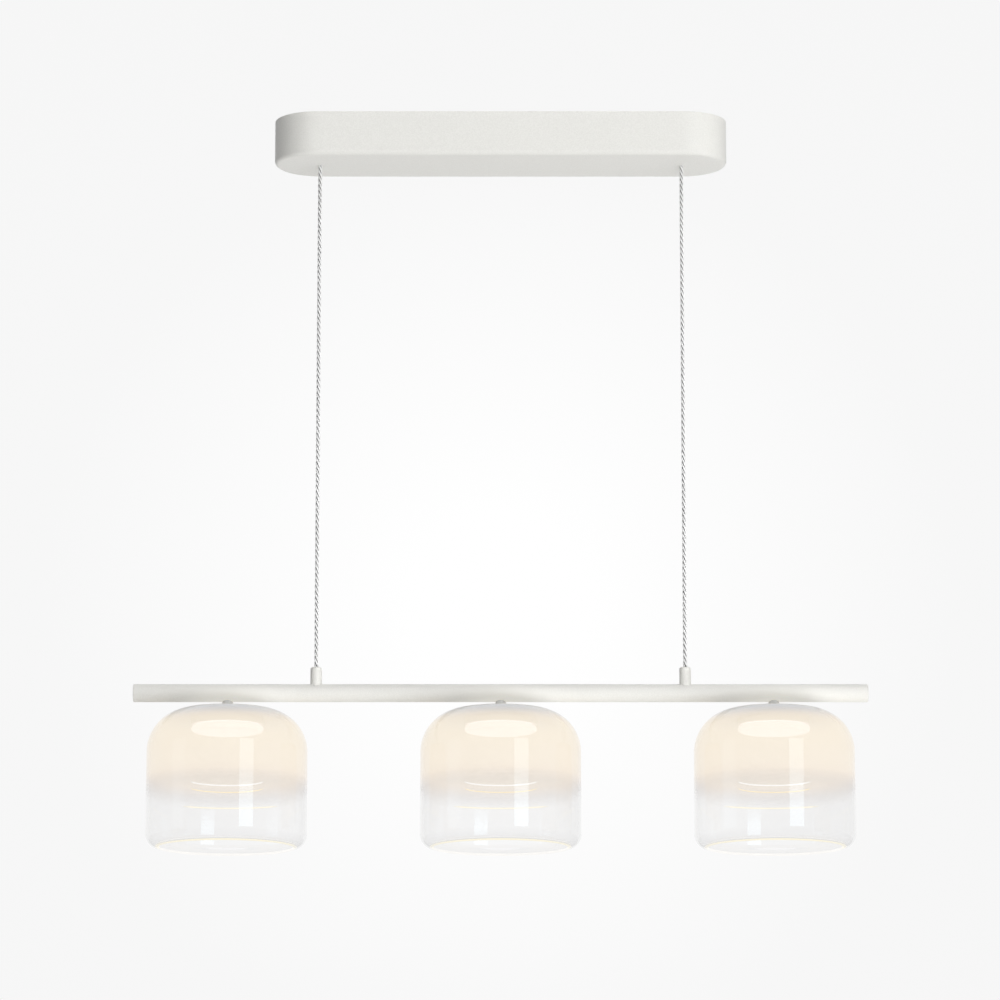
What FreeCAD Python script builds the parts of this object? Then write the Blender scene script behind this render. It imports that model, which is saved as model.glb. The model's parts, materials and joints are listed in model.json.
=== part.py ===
# Linear island pendant: three glass bells on a round bar, hung on two cords from a long ceiling canopy.
# Millimetres. +X runs along the bar, +Z points up, and the room's front is -Y.
# The origin is the middle of the bracket's top face, which lies on the ceiling.
import FreeCAD
import Part
import math
import os

V = FreeCAD.Vector
UP = V(0, 0, 1)

# Canopy cover
CANOPY_LENGTH = 460.0
CANOPY_WIDTH = 90.0
CANOPY_HEIGHT = 45.0
CANOPY_SHEET = 1.2
CANOPY_EDGE_RADIUS = 4.0

# Ceiling bracket
BRACKET_WIDTH = 34.0
BRACKET_SHEET = 1.5
FLANGE_DEPTH = 20.0
FLANGE_SETBACK = 7.0
SLOT_SPACING = 290.0
SLOT_LENGTH = 20.0
SLOT_WIDTH = 5.2
CABLE_ENTRY_DIAMETER = 20.0
CABLE_ENTRY_GAP = 4.0

# Fasteners of the canopy
SET_SCREW_DIAMETER = 4.0
SET_SCREW_SOCKET = 2.0
SET_SCREW_SOCKET_DEPTH = 2.2
SET_SCREW_RECESS = 0.3
SET_SCREW_DROP = 12.0
CANOPY_NUT_WIDTH = 7.0
CANOPY_NUT_HEIGHT = 3.0

# Cords
CORD_DIAMETER = 4.2
CORD_SPACING = 368.0
CORD_FREE_LENGTH = 517.0
CORD_CLEARANCE = 0.3

# Bushings where the cords leave the canopy
BUSHING_DIAMETER = 8.0
BUSHING_FLANGE_DIAMETER = 12.0
BUSHING_FLANGE_HEIGHT = 1.2
BUSHING_SLEEVE_HEIGHT = 3.0

# Stirrups and grips that hold the cords
STIRRUP_LENGTH = 20.0
STIRRUP_WIDTH = 28.0
STIRRUP_DROP = 20.0
STIRRUP_LIP = 6.5
GRIP_THREAD_DIAMETER = 10.0
GRIP_BARREL_DIAMETER = 14.0
GRIP_BARREL_HEIGHT = 10.0
GRIP_THREAD_HEIGHT = 7.0
GRIP_NUT_WIDTH = 14.0
GRIP_NUT_HEIGHT = 3.0
GRIP_SCREW_DIAMETER = 3.0
CORD_TAIL_ABOVE_GRIP = 1.5

# Driver and terminal
DRIVER_LENGTH = 150.0
DRIVER_WIDTH = 40.0
DRIVER_HEIGHT = 22.0
DRIVER_X = -20.0
DRIVER_EDGE_RADIUS = 2.0
DRIVER_COVER_HEIGHT = 5.0
DRIVER_EAR_LENGTH = 9.0
DRIVER_EAR_HEIGHT = 2.5
DRIVER_SCREW_DIAMETER = 3.5
TERMINAL_LENGTH = 30.0
TERMINAL_WIDTH = 22.0
TERMINAL_HEIGHT = 14.0
TERMINAL_GAP = 6.0
TERMINAL_WAYS = 3
TERMINAL_PITCH = 6.8
TERMINAL_SCREW_DIAMETER = 3.4
TERMINAL_SCREW_SUNK = 1.5
EARTH_SCREW_GAP = 24.0
EARTH_SCREW_Y = -9.0
EARTH_SCREW_DIAMETER = 4.0
LEAD_DIAMETER = 1.8
LEAD_DROP = 7.0
LEAD_SIDE_GAP = 5.0
LEAD_END_GAP = 17.0
LEAD_START_RUN = 18.0
LEAD_BEND_SHARE = 0.95

# Slotted screws
HEAD_RATIO = 1.9
SCREW_HEAD_HEIGHT = 2.2
DRIVE_SLOT_WIDTH = 0.7
DRIVE_SLOT_DEPTH = 0.6

# Bar
BAR_LENGTH = 732.0
BAR_DIAMETER = 18.0
BAR_WALL = 1.2
PLUG_HEAD = 2.0
PLUG_SPIGOT = 10.0
PLUG_WALL = 1.5
PLUG_EDGE_RADIUS = 0.8

# Ferrules that hold the cords' ball ends
FERRULE_DIAMETER = 11.5
FERRULE_HEIGHT = 17.0
FERRULE_CHAMFER = 1.2
FERRULE_MOUTH_DIAMETER = 6.4
FERRULE_SPIGOT_DIAMETER = 10.0
FERRULE_SPIGOT_DEPTH = 4.0
BALL_DIAMETER = 7.6
BALL_DROP = 5.5
BALL_CLEARANCE = 0.1
PRESS_CLEARANCE = 0.05

# Wires in the bar
WIRE_DIAMETER = 1.5
WIRE_OFFSET = 1.2
WIRE_RISE = 2.0
WIRE_OVERRUN = 6.0

# Lamps on the bar
LAMP_COUNT = 3
LAMP_END_DISTANCE = 94.0

# Hollow stem under the bar
STEM_DIAMETER = 8.0
STEM_BORE = 4.5
STEM_COLLAR_DIAMETER = 10.5
STEM_RISE_IN_BAR = 4.0
BAR_TO_GLASS = 4.0
UPPER_WASHER_DIAMETER = 12.0
UPPER_WASHER_HEIGHT = 1.0

# Blown glass bell
GLASS_DIAMETER = 160.0
GLASS_HEIGHT = 142.0
GLASS_WALL = 2.5
GLASS_CROWN_RADIUS = 250.0
GLASS_SHOULDER_RADIUS = 43.0
GLASS_LIP_RADIUS = 13.0
GLASS_MOUTH_DIAMETER = 136.0
GLASS_HOLE_DIAMETER = 9.0

# Light source under the glass crown
LOWER_WASHER_DIAMETER = 30.0
LOWER_WASHER_HEIGHT = 1.8
HOUSING_DIAMETER = 72.8
HOUSING_SLOPE_HEIGHT = 4.7
HOUSING_SKIRT_HEIGHT = 9.8
HOUSING_WALL = 2.7
STEM_NUT_WIDTH = 13.0
STEM_NUT_HEIGHT = 4.0
STEM_BELOW_NUT = 0.6
BOARD_HEIGHT = 1.6
BOARD_SEAT_WIDTH = 3.0
CHIP_SIZE = 2.8
CHIP_HEIGHT = 0.7
CHIP_RING_RADIUS = 18.0
CHIP_COUNT = 12
BOSS_RADIUS = 3.5
BOSS_SPACING = 46.0
BOARD_SCREW_DIAMETER = 2.9
BOARD_SCREW_BITE = 2.8
BOARD_SCREW_HEAD_HEIGHT = 1.6

# Opal disc pushed up into the housing
DIFFUSER_COLLAR = 5.0
DIFFUSER_BAND = 4.4
DIFFUSER_STEP = 3.5
DIFFUSER_SETBACK = 0.4
DIFFUSER_WALL = 1.6
DIFFUSER_EDGE_RADIUS = 1.5
DIFFUSER_SCREW_DIAMETER = 2.5
DIFFUSER_SCREW_SOCKET = 1.3
DIFFUSER_SCREW_BITE = 1.2
DIFFUSER_SCREW_COUNT = 3

# Clear cup bonded over the disc's step
CUP_WALL = 2.3
CUP_BASE = 7.4
CUP_HEIGHT = 59.2
CUP_EDGE_RADIUS = 0.8
SLIP_CLEARANCE = 0.1

# How far a cutting solid runs past the faces that it cuts, and when two places are the same
OVERCUT = 1.0
NEAR = 1e-6

# Heights that follow from the sizes above
CANOPY_UNDERSIDE = -CANOPY_HEIGHT
CANOPY_FLOOR = CANOPY_UNDERSIDE + CANOPY_SHEET
FERRULE_TOP = CANOPY_UNDERSIDE - CORD_FREE_LENGTH
BAR_TOP = FERRULE_TOP - FERRULE_HEIGHT
BAR_AXIS = BAR_TOP - BAR_DIAMETER / 2
BAR_BOTTOM = BAR_AXIS - BAR_DIAMETER / 2
BALL_CENTRE = FERRULE_TOP - BALL_DROP
GLASS_APEX = BAR_BOTTOM - BAR_TO_GLASS
GLASS_RIM = GLASS_APEX - GLASS_HEIGHT
HOUSING_TOP = GLASS_APEX - GLASS_WALL - LOWER_WASHER_HEIGHT
SKIRT_TOP = HOUSING_TOP - HOUSING_SLOPE_HEIGHT
SKIRT_BOTTOM = SKIRT_TOP - HOUSING_SKIRT_HEIGHT
BOARD_BOTTOM = SKIRT_BOTTOM + DIFFUSER_COLLAR + SLIP_CLEARANCE
BOARD_TOP = BOARD_BOTTOM + BOARD_HEIGHT
CUP_TOP = SKIRT_BOTTOM - DIFFUSER_BAND
CUP_BOTTOM = CUP_TOP - CUP_HEIGHT
DIFFUSER_BOTTOM = CUP_TOP - DIFFUSER_STEP
BRACKET_UNDERSIDE = -BRACKET_SHEET

# Places along the bracket that follow from the driver's length
DRIVER_REACH = DRIVER_LENGTH / 2 + DRIVER_EAR_LENGTH
TERMINAL_X = DRIVER_X + DRIVER_REACH + TERMINAL_GAP + TERMINAL_LENGTH / 2
CABLE_ENTRY_X = TERMINAL_X + TERMINAL_LENGTH / 2 + CABLE_ENTRY_GAP + CABLE_ENTRY_DIAMETER / 2
EARTH_SCREW_X = DRIVER_X - DRIVER_REACH - EARTH_SCREW_GAP

# Places along the bar
LAMP_SPACING = (BAR_LENGTH - 2 * LAMP_END_DISTANCE) / (LAMP_COUNT - 1)
CORD_PLACES = {"left": -CORD_SPACING / 2, "right": CORD_SPACING / 2}
LAMP_PLACES = {
    number + 1: (number - (LAMP_COUNT - 1) / 2) * LAMP_SPACING
    for number in range(LAMP_COUNT)
}


def rod(radius, start, end):
    """A straight round rod between two points."""
    run = end.sub(start)
    return Part.makeCylinder(radius, run.Length, start, run)


def pipe(outer, inner, start, end):
    """A straight round tube between two points."""
    reach = end.sub(start).normalize()
    return rod(outer, start, end).cut(rod(inner, start.sub(reach), end.add(reach)))


def hole(radius, x, y, low, high):
    """An upright cutting rod that runs past both faces of what it cuts."""
    return rod(radius, V(x, y, low - OVERCUT), V(x, y, high + OVERCUT))


def block(x, y, z, length, width, height):
    """A box whose top face is centred on x, y at the height z."""
    return Part.makeBox(length, width, height, V(x - length / 2, y - width / 2, z - height))


def hexagon(width, height, base, axis=UP):
    """A hexagon bar of the given width across flats, from base along axis."""
    corner = width / math.sqrt(3)
    flat = Part.makePolygon([
        V(corner * math.cos(math.radians(60 * n)), corner * math.sin(math.radians(60 * n)), 0)
        for n in range(7)
    ])
    bar = Part.Face(flat).extrude(V(0, 0, height))
    bar.Placement = FreeCAD.Placement(base, FreeCAD.Rotation(UP, axis))
    return bar


def stadium(length, width, top, height):
    """A prism with straight sides and fully round ends, hanging down from its top."""
    radius = width / 2
    straight = length / 2 - radius
    edges = [
        Part.makeLine(V(-straight, -radius, top), V(straight, -radius, top)),
        Part.Arc(V(straight, -radius, top), V(length / 2, 0, top), V(straight, radius, top)).toShape(),
        Part.makeLine(V(straight, radius, top), V(-straight, radius, top)),
        Part.Arc(V(-straight, radius, top), V(-length / 2, 0, top), V(-straight, -radius, top)).toShape(),
    ]
    return Part.Face(Part.Wire(edges)).extrude(V(0, 0, -height))


def edges_at_height(shape, height):
    """The edges that lie flat at one height."""
    return [
        edge for edge in shape.Edges
        if abs(edge.BoundBox.ZMin - height) < NEAR and abs(edge.BoundBox.ZMax - height) < NEAR
    ]


def turned(points, x=0.0):
    """A body turned about the vertical line through x from a closed outline of (radius, height) points."""
    outline = Part.makePolygon([V(r, 0, z) for r, z in points + points[:1]])
    body = Part.Face(outline).revolve(V(0, 0, 0), UP, 360)
    body.translate(V(x, 0, 0))
    return body


def routed_tube(points, diameter, bend_radius):
    """A wire along straight runs joined by tangent arcs."""
    edges = []
    here = points[0]
    for before, corner, after in zip(points, points[1:], points[2:]):
        arriving = corner.sub(before).normalize()
        leaving = after.sub(corner).normalize()
        turn = arriving.getAngle(leaving)
        setback = bend_radius * math.tan(turn / 2)
        start = corner.sub(arriving * setback)
        end = corner.add(leaving * setback)
        inward = leaving.sub(arriving).normalize()
        middle = corner.add(inward * (bend_radius / math.cos(turn / 2) - bend_radius))
        edges.append(Part.LineSegment(here, start).toShape())
        edges.append(Part.Arc(start, middle, end).toShape())
        here = end
    edges.append(Part.LineSegment(here, points[-1]).toShape())
    path = Part.Wire(edges)
    ring = Part.Wire(Part.makeCircle(diameter / 2, points[0], points[1].sub(points[0])))
    tube = path.makePipeShell([ring], True, False)
    expected = math.pi * (diameter / 2) ** 2 * path.Length
    print(f"wire {path.Length:.1f} mm, bend {bend_radius:.1f} mm, volume ratio {tube.Volume / expected:.4f}")
    return tube


def bar_solid(radius, x_low, x_high):
    """A round solid on the bar's own axis."""
    return rod(radius, V(x_low, 0, BAR_AXIS), V(x_high, 0, BAR_AXIS))


# Canopy and bracket

def canopy_inside(top, height):
    """The space inside the canopy's walls."""
    return stadium(CANOPY_LENGTH - 2 * CANOPY_SHEET, CANOPY_WIDTH - 2 * CANOPY_SHEET, top, height)


def canopy_cover():
    """Drawn cover: open at the ceiling, rolled lower edge, holes for the bushings and set screws."""
    outer = stadium(CANOPY_LENGTH, CANOPY_WIDTH, 0, CANOPY_HEIGHT)
    outer = outer.makeFillet(CANOPY_EDGE_RADIUS, edges_at_height(outer, CANOPY_UNDERSIDE))
    inner = canopy_inside(0, CANOPY_HEIGHT - CANOPY_SHEET)
    inner = inner.makeFillet(CANOPY_EDGE_RADIUS - CANOPY_SHEET, edges_at_height(inner, CANOPY_FLOOR))
    shell = outer.cut(inner)
    for x in CORD_PLACES.values():
        shell = shell.cut(hole(BUSHING_DIAMETER / 2, x, 0, CANOPY_UNDERSIDE, CANOPY_FLOOR))
    end = V(CANOPY_LENGTH / 2 + OVERCUT, 0, -SET_SCREW_DROP)
    other_end = V(-end.x, 0, end.z)
    return shell.cut(rod(SET_SCREW_DIAMETER / 2, other_end, end))


def flange_face():
    """How far from the middle the outer face of each bracket flange lies."""
    return CANOPY_LENGTH / 2 - FLANGE_SETBACK


def mounting_bracket():
    """Flat strip with slots and a cable entry, its ends folded down as flanges."""
    length = 2 * flange_face()
    strip = block(0, 0, 0, length, BRACKET_WIDTH, BRACKET_SHEET)
    for side in (-1, 1):
        x = side * (flange_face() - BRACKET_SHEET / 2)
        strip = strip.fuse(block(x, 0, 0, BRACKET_SHEET, BRACKET_WIDTH, FLANGE_DEPTH))
        slot = stadium(SLOT_LENGTH, SLOT_WIDTH, OVERCUT, BRACKET_SHEET + 2 * OVERCUT)
        slot.translate(V(side * SLOT_SPACING / 2, 0, 0))
        strip = strip.cut(slot)
    strip = strip.cut(hole(CABLE_ENTRY_DIAMETER / 2, CABLE_ENTRY_X, 0, BRACKET_UNDERSIDE, 0))
    strip = strip.cut(hole(EARTH_SCREW_DIAMETER / 2, EARTH_SCREW_X, EARTH_SCREW_Y, BRACKET_UNDERSIDE, 0))
    for x in driver_screw_places():
        strip = strip.cut(hole(DRIVER_SCREW_DIAMETER / 2, x, 0, BRACKET_UNDERSIDE, 0))
    strip = strip.removeSplitter()
    outer_folds = [
        edge for edge in edges_at_height(strip, 0)
        if abs(abs(edge.CenterOfMass.x) - flange_face()) < NEAR
    ]
    return strip.makeFillet(BRACKET_SHEET, outer_folds)


def canopy_set_screws():
    """Socket set screws at both ends, their tips on the bracket's flanges."""
    screws = []
    for side in (-1, 1):
        head = V(side * (CANOPY_LENGTH / 2 - SET_SCREW_RECESS), 0, -SET_SCREW_DROP)
        tip = V(side * flange_face(), 0, -SET_SCREW_DROP)
        socket = hexagon(SET_SCREW_SOCKET, SET_SCREW_SOCKET_DEPTH, head, V(-side, 0, 0))
        screws.append(rod(SET_SCREW_DIAMETER / 2, tip, head).cut(socket))
    return Part.makeCompound(screws)


def canopy_nuts():
    """Nuts welded inside the round ends, shaped to the wall behind them."""
    nuts = []
    wall = CANOPY_LENGTH / 2 - CANOPY_SHEET
    for side in (-1, 1):
        outward = V(side, 0, 0)
        start = outward * (wall - CANOPY_NUT_HEIGHT) + V(0, 0, -SET_SCREW_DROP)
        nut = hexagon(CANOPY_NUT_WIDTH, CANOPY_NUT_HEIGHT + OVERCUT, start, outward)
        nut = nut.common(canopy_inside(0, CANOPY_HEIGHT - CANOPY_SHEET))
        bore_start = start - outward * OVERCUT
        bore_end = start + outward * (CANOPY_NUT_HEIGHT + OVERCUT)
        nuts.append(nut.cut(rod(SET_SCREW_DIAMETER / 2, bore_start, bore_end)))
    return Part.makeCompound(nuts)


def cord_bushing(x):
    """Guide for one cord, flush with the canopy below and flanged above its floor."""
    bore = CORD_DIAMETER / 2 + CORD_CLEARANCE
    sleeve = BUSHING_DIAMETER / 2
    flange = BUSHING_FLANGE_DIAMETER / 2
    flange_top = CANOPY_FLOOR + BUSHING_FLANGE_HEIGHT
    return turned([
        (bore, CANOPY_UNDERSIDE),
        (sleeve, CANOPY_UNDERSIDE),
        (sleeve, CANOPY_FLOOR),
        (flange, CANOPY_FLOOR),
        (flange, flange_top),
        (sleeve, flange_top),
        (sleeve, flange_top + BUSHING_SLEEVE_HEIGHT),
        (bore, flange_top + BUSHING_SLEEVE_HEIGHT),
    ], x)


# Cord anchors

def shelf_top():
    """Height of the upper face of the stirrups' shelves."""
    return BRACKET_UNDERSIDE - STIRRUP_DROP + BRACKET_SHEET


def cord_anchor(x):
    """Stirrup folded from strip: lips welded under the bracket, and a shelf for the grip."""
    outer = block(x, 0, BRACKET_UNDERSIDE, STIRRUP_LENGTH, STIRRUP_WIDTH, STIRRUP_DROP)
    hollow = block(
        x, 0, BRACKET_UNDERSIDE - BRACKET_SHEET,
        STIRRUP_LENGTH + 2 * OVERCUT, STIRRUP_WIDTH - 2 * BRACKET_SHEET, STIRRUP_DROP - 2 * BRACKET_SHEET,
    )
    gap_width = STIRRUP_WIDTH - 2 * (BRACKET_SHEET + STIRRUP_LIP)
    gap = block(
        x, 0, BRACKET_UNDERSIDE + OVERCUT,
        STIRRUP_LENGTH + 2 * OVERCUT, gap_width, BRACKET_SHEET + 2 * OVERCUT,
    )
    shelf_bottom = shelf_top() - BRACKET_SHEET
    grip_hole = hole(GRIP_THREAD_DIAMETER / 2 + SLIP_CLEARANCE, x, 0, shelf_bottom, shelf_top())
    return outer.cut(hollow).cut(gap).cut(grip_hole)


def grip_top():
    """Height of the top of the threaded grips."""
    return shelf_top() - BRACKET_SHEET + GRIP_THREAD_HEIGHT


def grip_screw_height():
    """Height of the small screws in the grips' barrels."""
    return shelf_top() - BRACKET_SHEET - GRIP_BARREL_HEIGHT / 2


def cord_grip(x):
    """Threaded cord grip: barrel under the shelf, thread through it."""
    bore = CORD_DIAMETER / 2 + SLIP_CLEARANCE
    barrel = GRIP_BARREL_DIAMETER / 2
    thread = GRIP_THREAD_DIAMETER / 2
    shelf = shelf_top() - BRACKET_SHEET
    bottom = shelf - GRIP_BARREL_HEIGHT
    chamfer = (barrel - thread) / 2
    body = turned([
        (bore, bottom),
        (barrel - chamfer, bottom),
        (barrel, bottom + chamfer),
        (barrel, shelf),
        (thread, shelf),
        (thread, grip_top()),
        (bore, grip_top()),
    ], x)
    screw_start = V(x, -barrel - OVERCUT, grip_screw_height())
    screw_end = V(x, 0, grip_screw_height())
    return body.cut(rod(GRIP_SCREW_DIAMETER / 2, screw_start, screw_end))


def grip_nuts():
    """Hexagon nuts that hold the grips on their shelves."""
    nuts = []
    for x in CORD_PLACES.values():
        nut = hexagon(GRIP_NUT_WIDTH, GRIP_NUT_HEIGHT, V(x, 0, shelf_top()))
        thread = hole(GRIP_THREAD_DIAMETER / 2, x, 0, shelf_top(), shelf_top() + GRIP_NUT_HEIGHT)
        nuts.append(nut.cut(thread))
    return Part.makeCompound(nuts)


def grip_screws():
    """Small screws that press on the cords inside the grips."""
    screws = []
    for x in CORD_PLACES.values():
        outer = V(x, -GRIP_BARREL_DIAMETER / 2, grip_screw_height())
        tip = V(x, -CORD_DIAMETER / 2, grip_screw_height())
        screws.append(rod(GRIP_SCREW_DIAMETER / 2, outer, tip))
    return Part.makeCompound(screws)


def tail_top():
    """Height at which the braided part of each cord ends inside the canopy."""
    return grip_top() + CORD_TAIL_ABOVE_GRIP


def cord_tail(x):
    """The cord's stretch from the canopy's underside up through its grip."""
    return rod(CORD_DIAMETER / 2, V(x, 0, CANOPY_UNDERSIDE), V(x, 0, tail_top()))


# Driver, terminal and leads inside the canopy

def driver_screw_places():
    """Where the driver's two ears are screwed to the bracket, along X."""
    reach = DRIVER_LENGTH / 2 + DRIVER_EAR_LENGTH / 2
    return [DRIVER_X - reach, DRIVER_X + reach]


def led_driver():
    """Driver case with rounded edges and a screw ear at each end."""
    body_height = DRIVER_HEIGHT - DRIVER_COVER_HEIGHT
    body = block(DRIVER_X, 0, BRACKET_UNDERSIDE, DRIVER_LENGTH, DRIVER_WIDTH, body_height)
    upright = [edge for edge in body.Edges if edge.BoundBox.ZLength > body_height / 2]
    body = body.makeFillet(DRIVER_EDGE_RADIUS, upright)
    ears = block(
        DRIVER_X, 0, BRACKET_UNDERSIDE,
        DRIVER_LENGTH + 2 * DRIVER_EAR_LENGTH, DRIVER_WIDTH / 2, DRIVER_EAR_HEIGHT,
    )
    body = body.fuse(ears).removeSplitter()
    for x in driver_screw_places():
        ear_bottom = BRACKET_UNDERSIDE - DRIVER_EAR_HEIGHT
        body = body.cut(hole(DRIVER_SCREW_DIAMETER / 2, x, 0, ear_bottom, BRACKET_UNDERSIDE))
    return body


def driver_cover():
    """Lid of the driver case."""
    top = BRACKET_UNDERSIDE - DRIVER_HEIGHT + DRIVER_COVER_HEIGHT
    lid = block(DRIVER_X, 0, top, DRIVER_LENGTH, DRIVER_WIDTH, DRIVER_COVER_HEIGHT)
    seam = edges_at_height(lid, top)
    rounded = [edge for edge in lid.Edges if not any(edge.isSame(other) for other in seam)]
    return lid.makeFillet(DRIVER_EDGE_RADIUS, rounded)


def drive_slot(x, y, bottom, length):
    """The cut of a screwdriver slot in a face that looks down."""
    return block(x, y, bottom + DRIVE_SLOT_DEPTH, length, DRIVE_SLOT_WIDTH, 2 * DRIVE_SLOT_DEPTH)


def headed_screw(place, diameter, head_height, length):
    """A slotted screw that points up, its bevelled head's upper face at the given place."""
    shank = rod(diameter / 2, place, place.add(V(0, 0, length)))
    bottom = place.z - head_height
    head = rod(diameter * HEAD_RATIO / 2, V(place.x, place.y, bottom), place)
    head = head.makeChamfer(head_height / 2, edges_at_height(head, bottom))
    slot = drive_slot(place.x, place.y, bottom, diameter * HEAD_RATIO)
    return head.fuse(shank).removeSplitter().cut(slot)


def driver_screws():
    """Screws through the driver's ears into the bracket."""
    below = BRACKET_UNDERSIDE - DRIVER_EAR_HEIGHT
    length = DRIVER_EAR_HEIGHT + BRACKET_SHEET
    return Part.makeCompound([
        headed_screw(V(x, 0, below), DRIVER_SCREW_DIAMETER, SCREW_HEAD_HEIGHT, length)
        for x in driver_screw_places()
    ])


def terminal_ways():
    """Distances of the terminal's ways from the middle, along Y."""
    return [(way - (TERMINAL_WAYS - 1) / 2) * TERMINAL_PITCH for way in range(TERMINAL_WAYS)]


def terminal_screw_places():
    """Where the terminal's screws sit, two to a way."""
    return [
        V(TERMINAL_X + side * TERMINAL_LENGTH / 4, y, BRACKET_UNDERSIDE - TERMINAL_HEIGHT)
        for y in terminal_ways()
        for side in (-1, 1)
    ]


def mains_terminal():
    """Screw terminal with one wire channel and two screw wells to a way."""
    body = block(TERMINAL_X, 0, BRACKET_UNDERSIDE, TERMINAL_LENGTH, TERMINAL_WIDTH, TERMINAL_HEIGHT)
    for y in terminal_ways():
        start = V(TERMINAL_X - TERMINAL_LENGTH, y, BRACKET_UNDERSIDE - TERMINAL_HEIGHT / 2)
        body = body.cut(rod(TERMINAL_SCREW_DIAMETER / 2, start, start.add(V(2 * TERMINAL_LENGTH, 0, 0))))
    for place in terminal_screw_places():
        mouth = place.sub(V(0, 0, OVERCUT))
        well_end = place.add(V(0, 0, TERMINAL_HEIGHT / 2))
        body = body.cut(rod(TERMINAL_SCREW_DIAMETER / 2, mouth, well_end))
    return body


def terminal_screws():
    """The terminal's clamping screws, sunk in their wells."""
    screws = []
    for place in terminal_screw_places():
        head = place.add(V(0, 0, TERMINAL_SCREW_SUNK))
        tip = place.add(V(0, 0, TERMINAL_HEIGHT / 2 - TERMINAL_SCREW_DIAMETER / 2))
        screw = rod(TERMINAL_SCREW_DIAMETER / 2, head, tip)
        screws.append(screw.cut(drive_slot(place.x, place.y, head.z, 2 * TERMINAL_SCREW_DIAMETER)))
    return Part.makeCompound(screws)


def earth_screw():
    """Earthing screw in the bracket."""
    place = V(EARTH_SCREW_X, EARTH_SCREW_Y, BRACKET_UNDERSIDE)
    return headed_screw(place, EARTH_SCREW_DIAMETER, SCREW_HEAD_HEIGHT, BRACKET_SHEET)


def mains_leads():
    """Live and neutral wires from the terminal to the driver."""
    height = BRACKET_UNDERSIDE - TERMINAL_HEIGHT / 2
    start = DRIVER_X + DRIVER_LENGTH / 2
    end = TERMINAL_X - TERMINAL_LENGTH / 2 + TERMINAL_LENGTH / 8
    return Part.makeCompound([
        rod(LEAD_DIAMETER / 2, V(start, y, height), V(end, y, height))
        for y in (terminal_ways()[0], terminal_ways()[-1])
    ])


def lamp_leads():
    """Wires from the driver's lamp end to the two cords, the right one past the driver's side."""
    level = BRACKET_UNDERSIDE - LEAD_DROP
    driver_end = DRIVER_X - DRIVER_LENGTH / 2
    turn_x = driver_end - LEAD_END_GAP
    near_y = DRIVER_WIDTH / 4
    side_y = DRIVER_WIDTH / 2 + LEAD_SIDE_GAP
    left = CORD_PLACES["left"]
    right = CORD_PLACES["right"]
    left_run = [
        V(left, 0, tail_top()),
        V(left, 0, level),
        V(left + LEAD_START_RUN, near_y, level),
        V(driver_end, near_y, level),
    ]
    right_run = [
        V(right, 0, tail_top()),
        V(right, 0, level),
        V(right - side_y, side_y, level),
        V(turn_x, side_y, level),
        V(turn_x, -near_y, level),
        V(driver_end, -near_y, level),
    ]
    bend = LEAD_BEND_SHARE * (level - tail_top())
    return Part.makeCompound([
        routed_tube(left_run, LEAD_DIAMETER, bend),
        routed_tube(right_run, LEAD_DIAMETER, bend),
    ])


# Cords and their ball ends

def cord(x):
    """The hanging stretch of one cord, from the canopy's underside into its ball end."""
    return rod(CORD_DIAMETER / 2, V(x, 0, BALL_CENTRE), V(x, 0, CANOPY_UNDERSIDE))


def cord_end(x):
    """Ball end crimped on a cord, with a blind bore for it."""
    ball = Part.makeSphere(BALL_DIAMETER / 2, V(x, 0, BALL_CENTRE))
    bore = rod(CORD_DIAMETER / 2 + PRESS_CLEARANCE, V(x, 0, BALL_CENTRE), V(x, 0, FERRULE_TOP))
    return ball.cut(bore)


# Light bar

def bar_tube():
    """Round tube with holes for the ferrules above and the stems below."""
    half = BAR_LENGTH / 2 - PLUG_HEAD
    tube = pipe(BAR_DIAMETER / 2, BAR_DIAMETER / 2 - BAR_WALL, V(-half, 0, BAR_AXIS), V(half, 0, BAR_AXIS))
    for x in CORD_PLACES.values():
        tube = tube.cut(hole(FERRULE_SPIGOT_DIAMETER / 2 + PRESS_CLEARANCE, x, 0, BAR_AXIS, BAR_TOP))
    for x in LAMP_PLACES.values():
        tube = tube.cut(hole(STEM_DIAMETER / 2 + PRESS_CLEARANCE, x, 0, BAR_BOTTOM, BAR_AXIS))
    return tube


def end_plug(side):
    """Plug that closes one end of the tube: a thin head and a hollow spigot."""
    face = side * BAR_LENGTH / 2
    seat = face - side * PLUG_HEAD
    inside = BAR_DIAMETER / 2 - BAR_WALL - PRESS_CLEARANCE
    head = bar_solid(BAR_DIAMETER / 2, min(face, seat), max(face, seat))
    rim = [edge for edge in head.Edges if abs(edge.CenterOfMass.x - face) < NEAR]
    head = head.makeFillet(PLUG_EDGE_RADIUS, rim)
    end = seat - side * PLUG_SPIGOT
    spigot = pipe(inside, inside - PLUG_WALL, V(seat, 0, BAR_AXIS), V(end, 0, BAR_AXIS))
    return head.fuse(spigot).removeSplitter()


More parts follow.
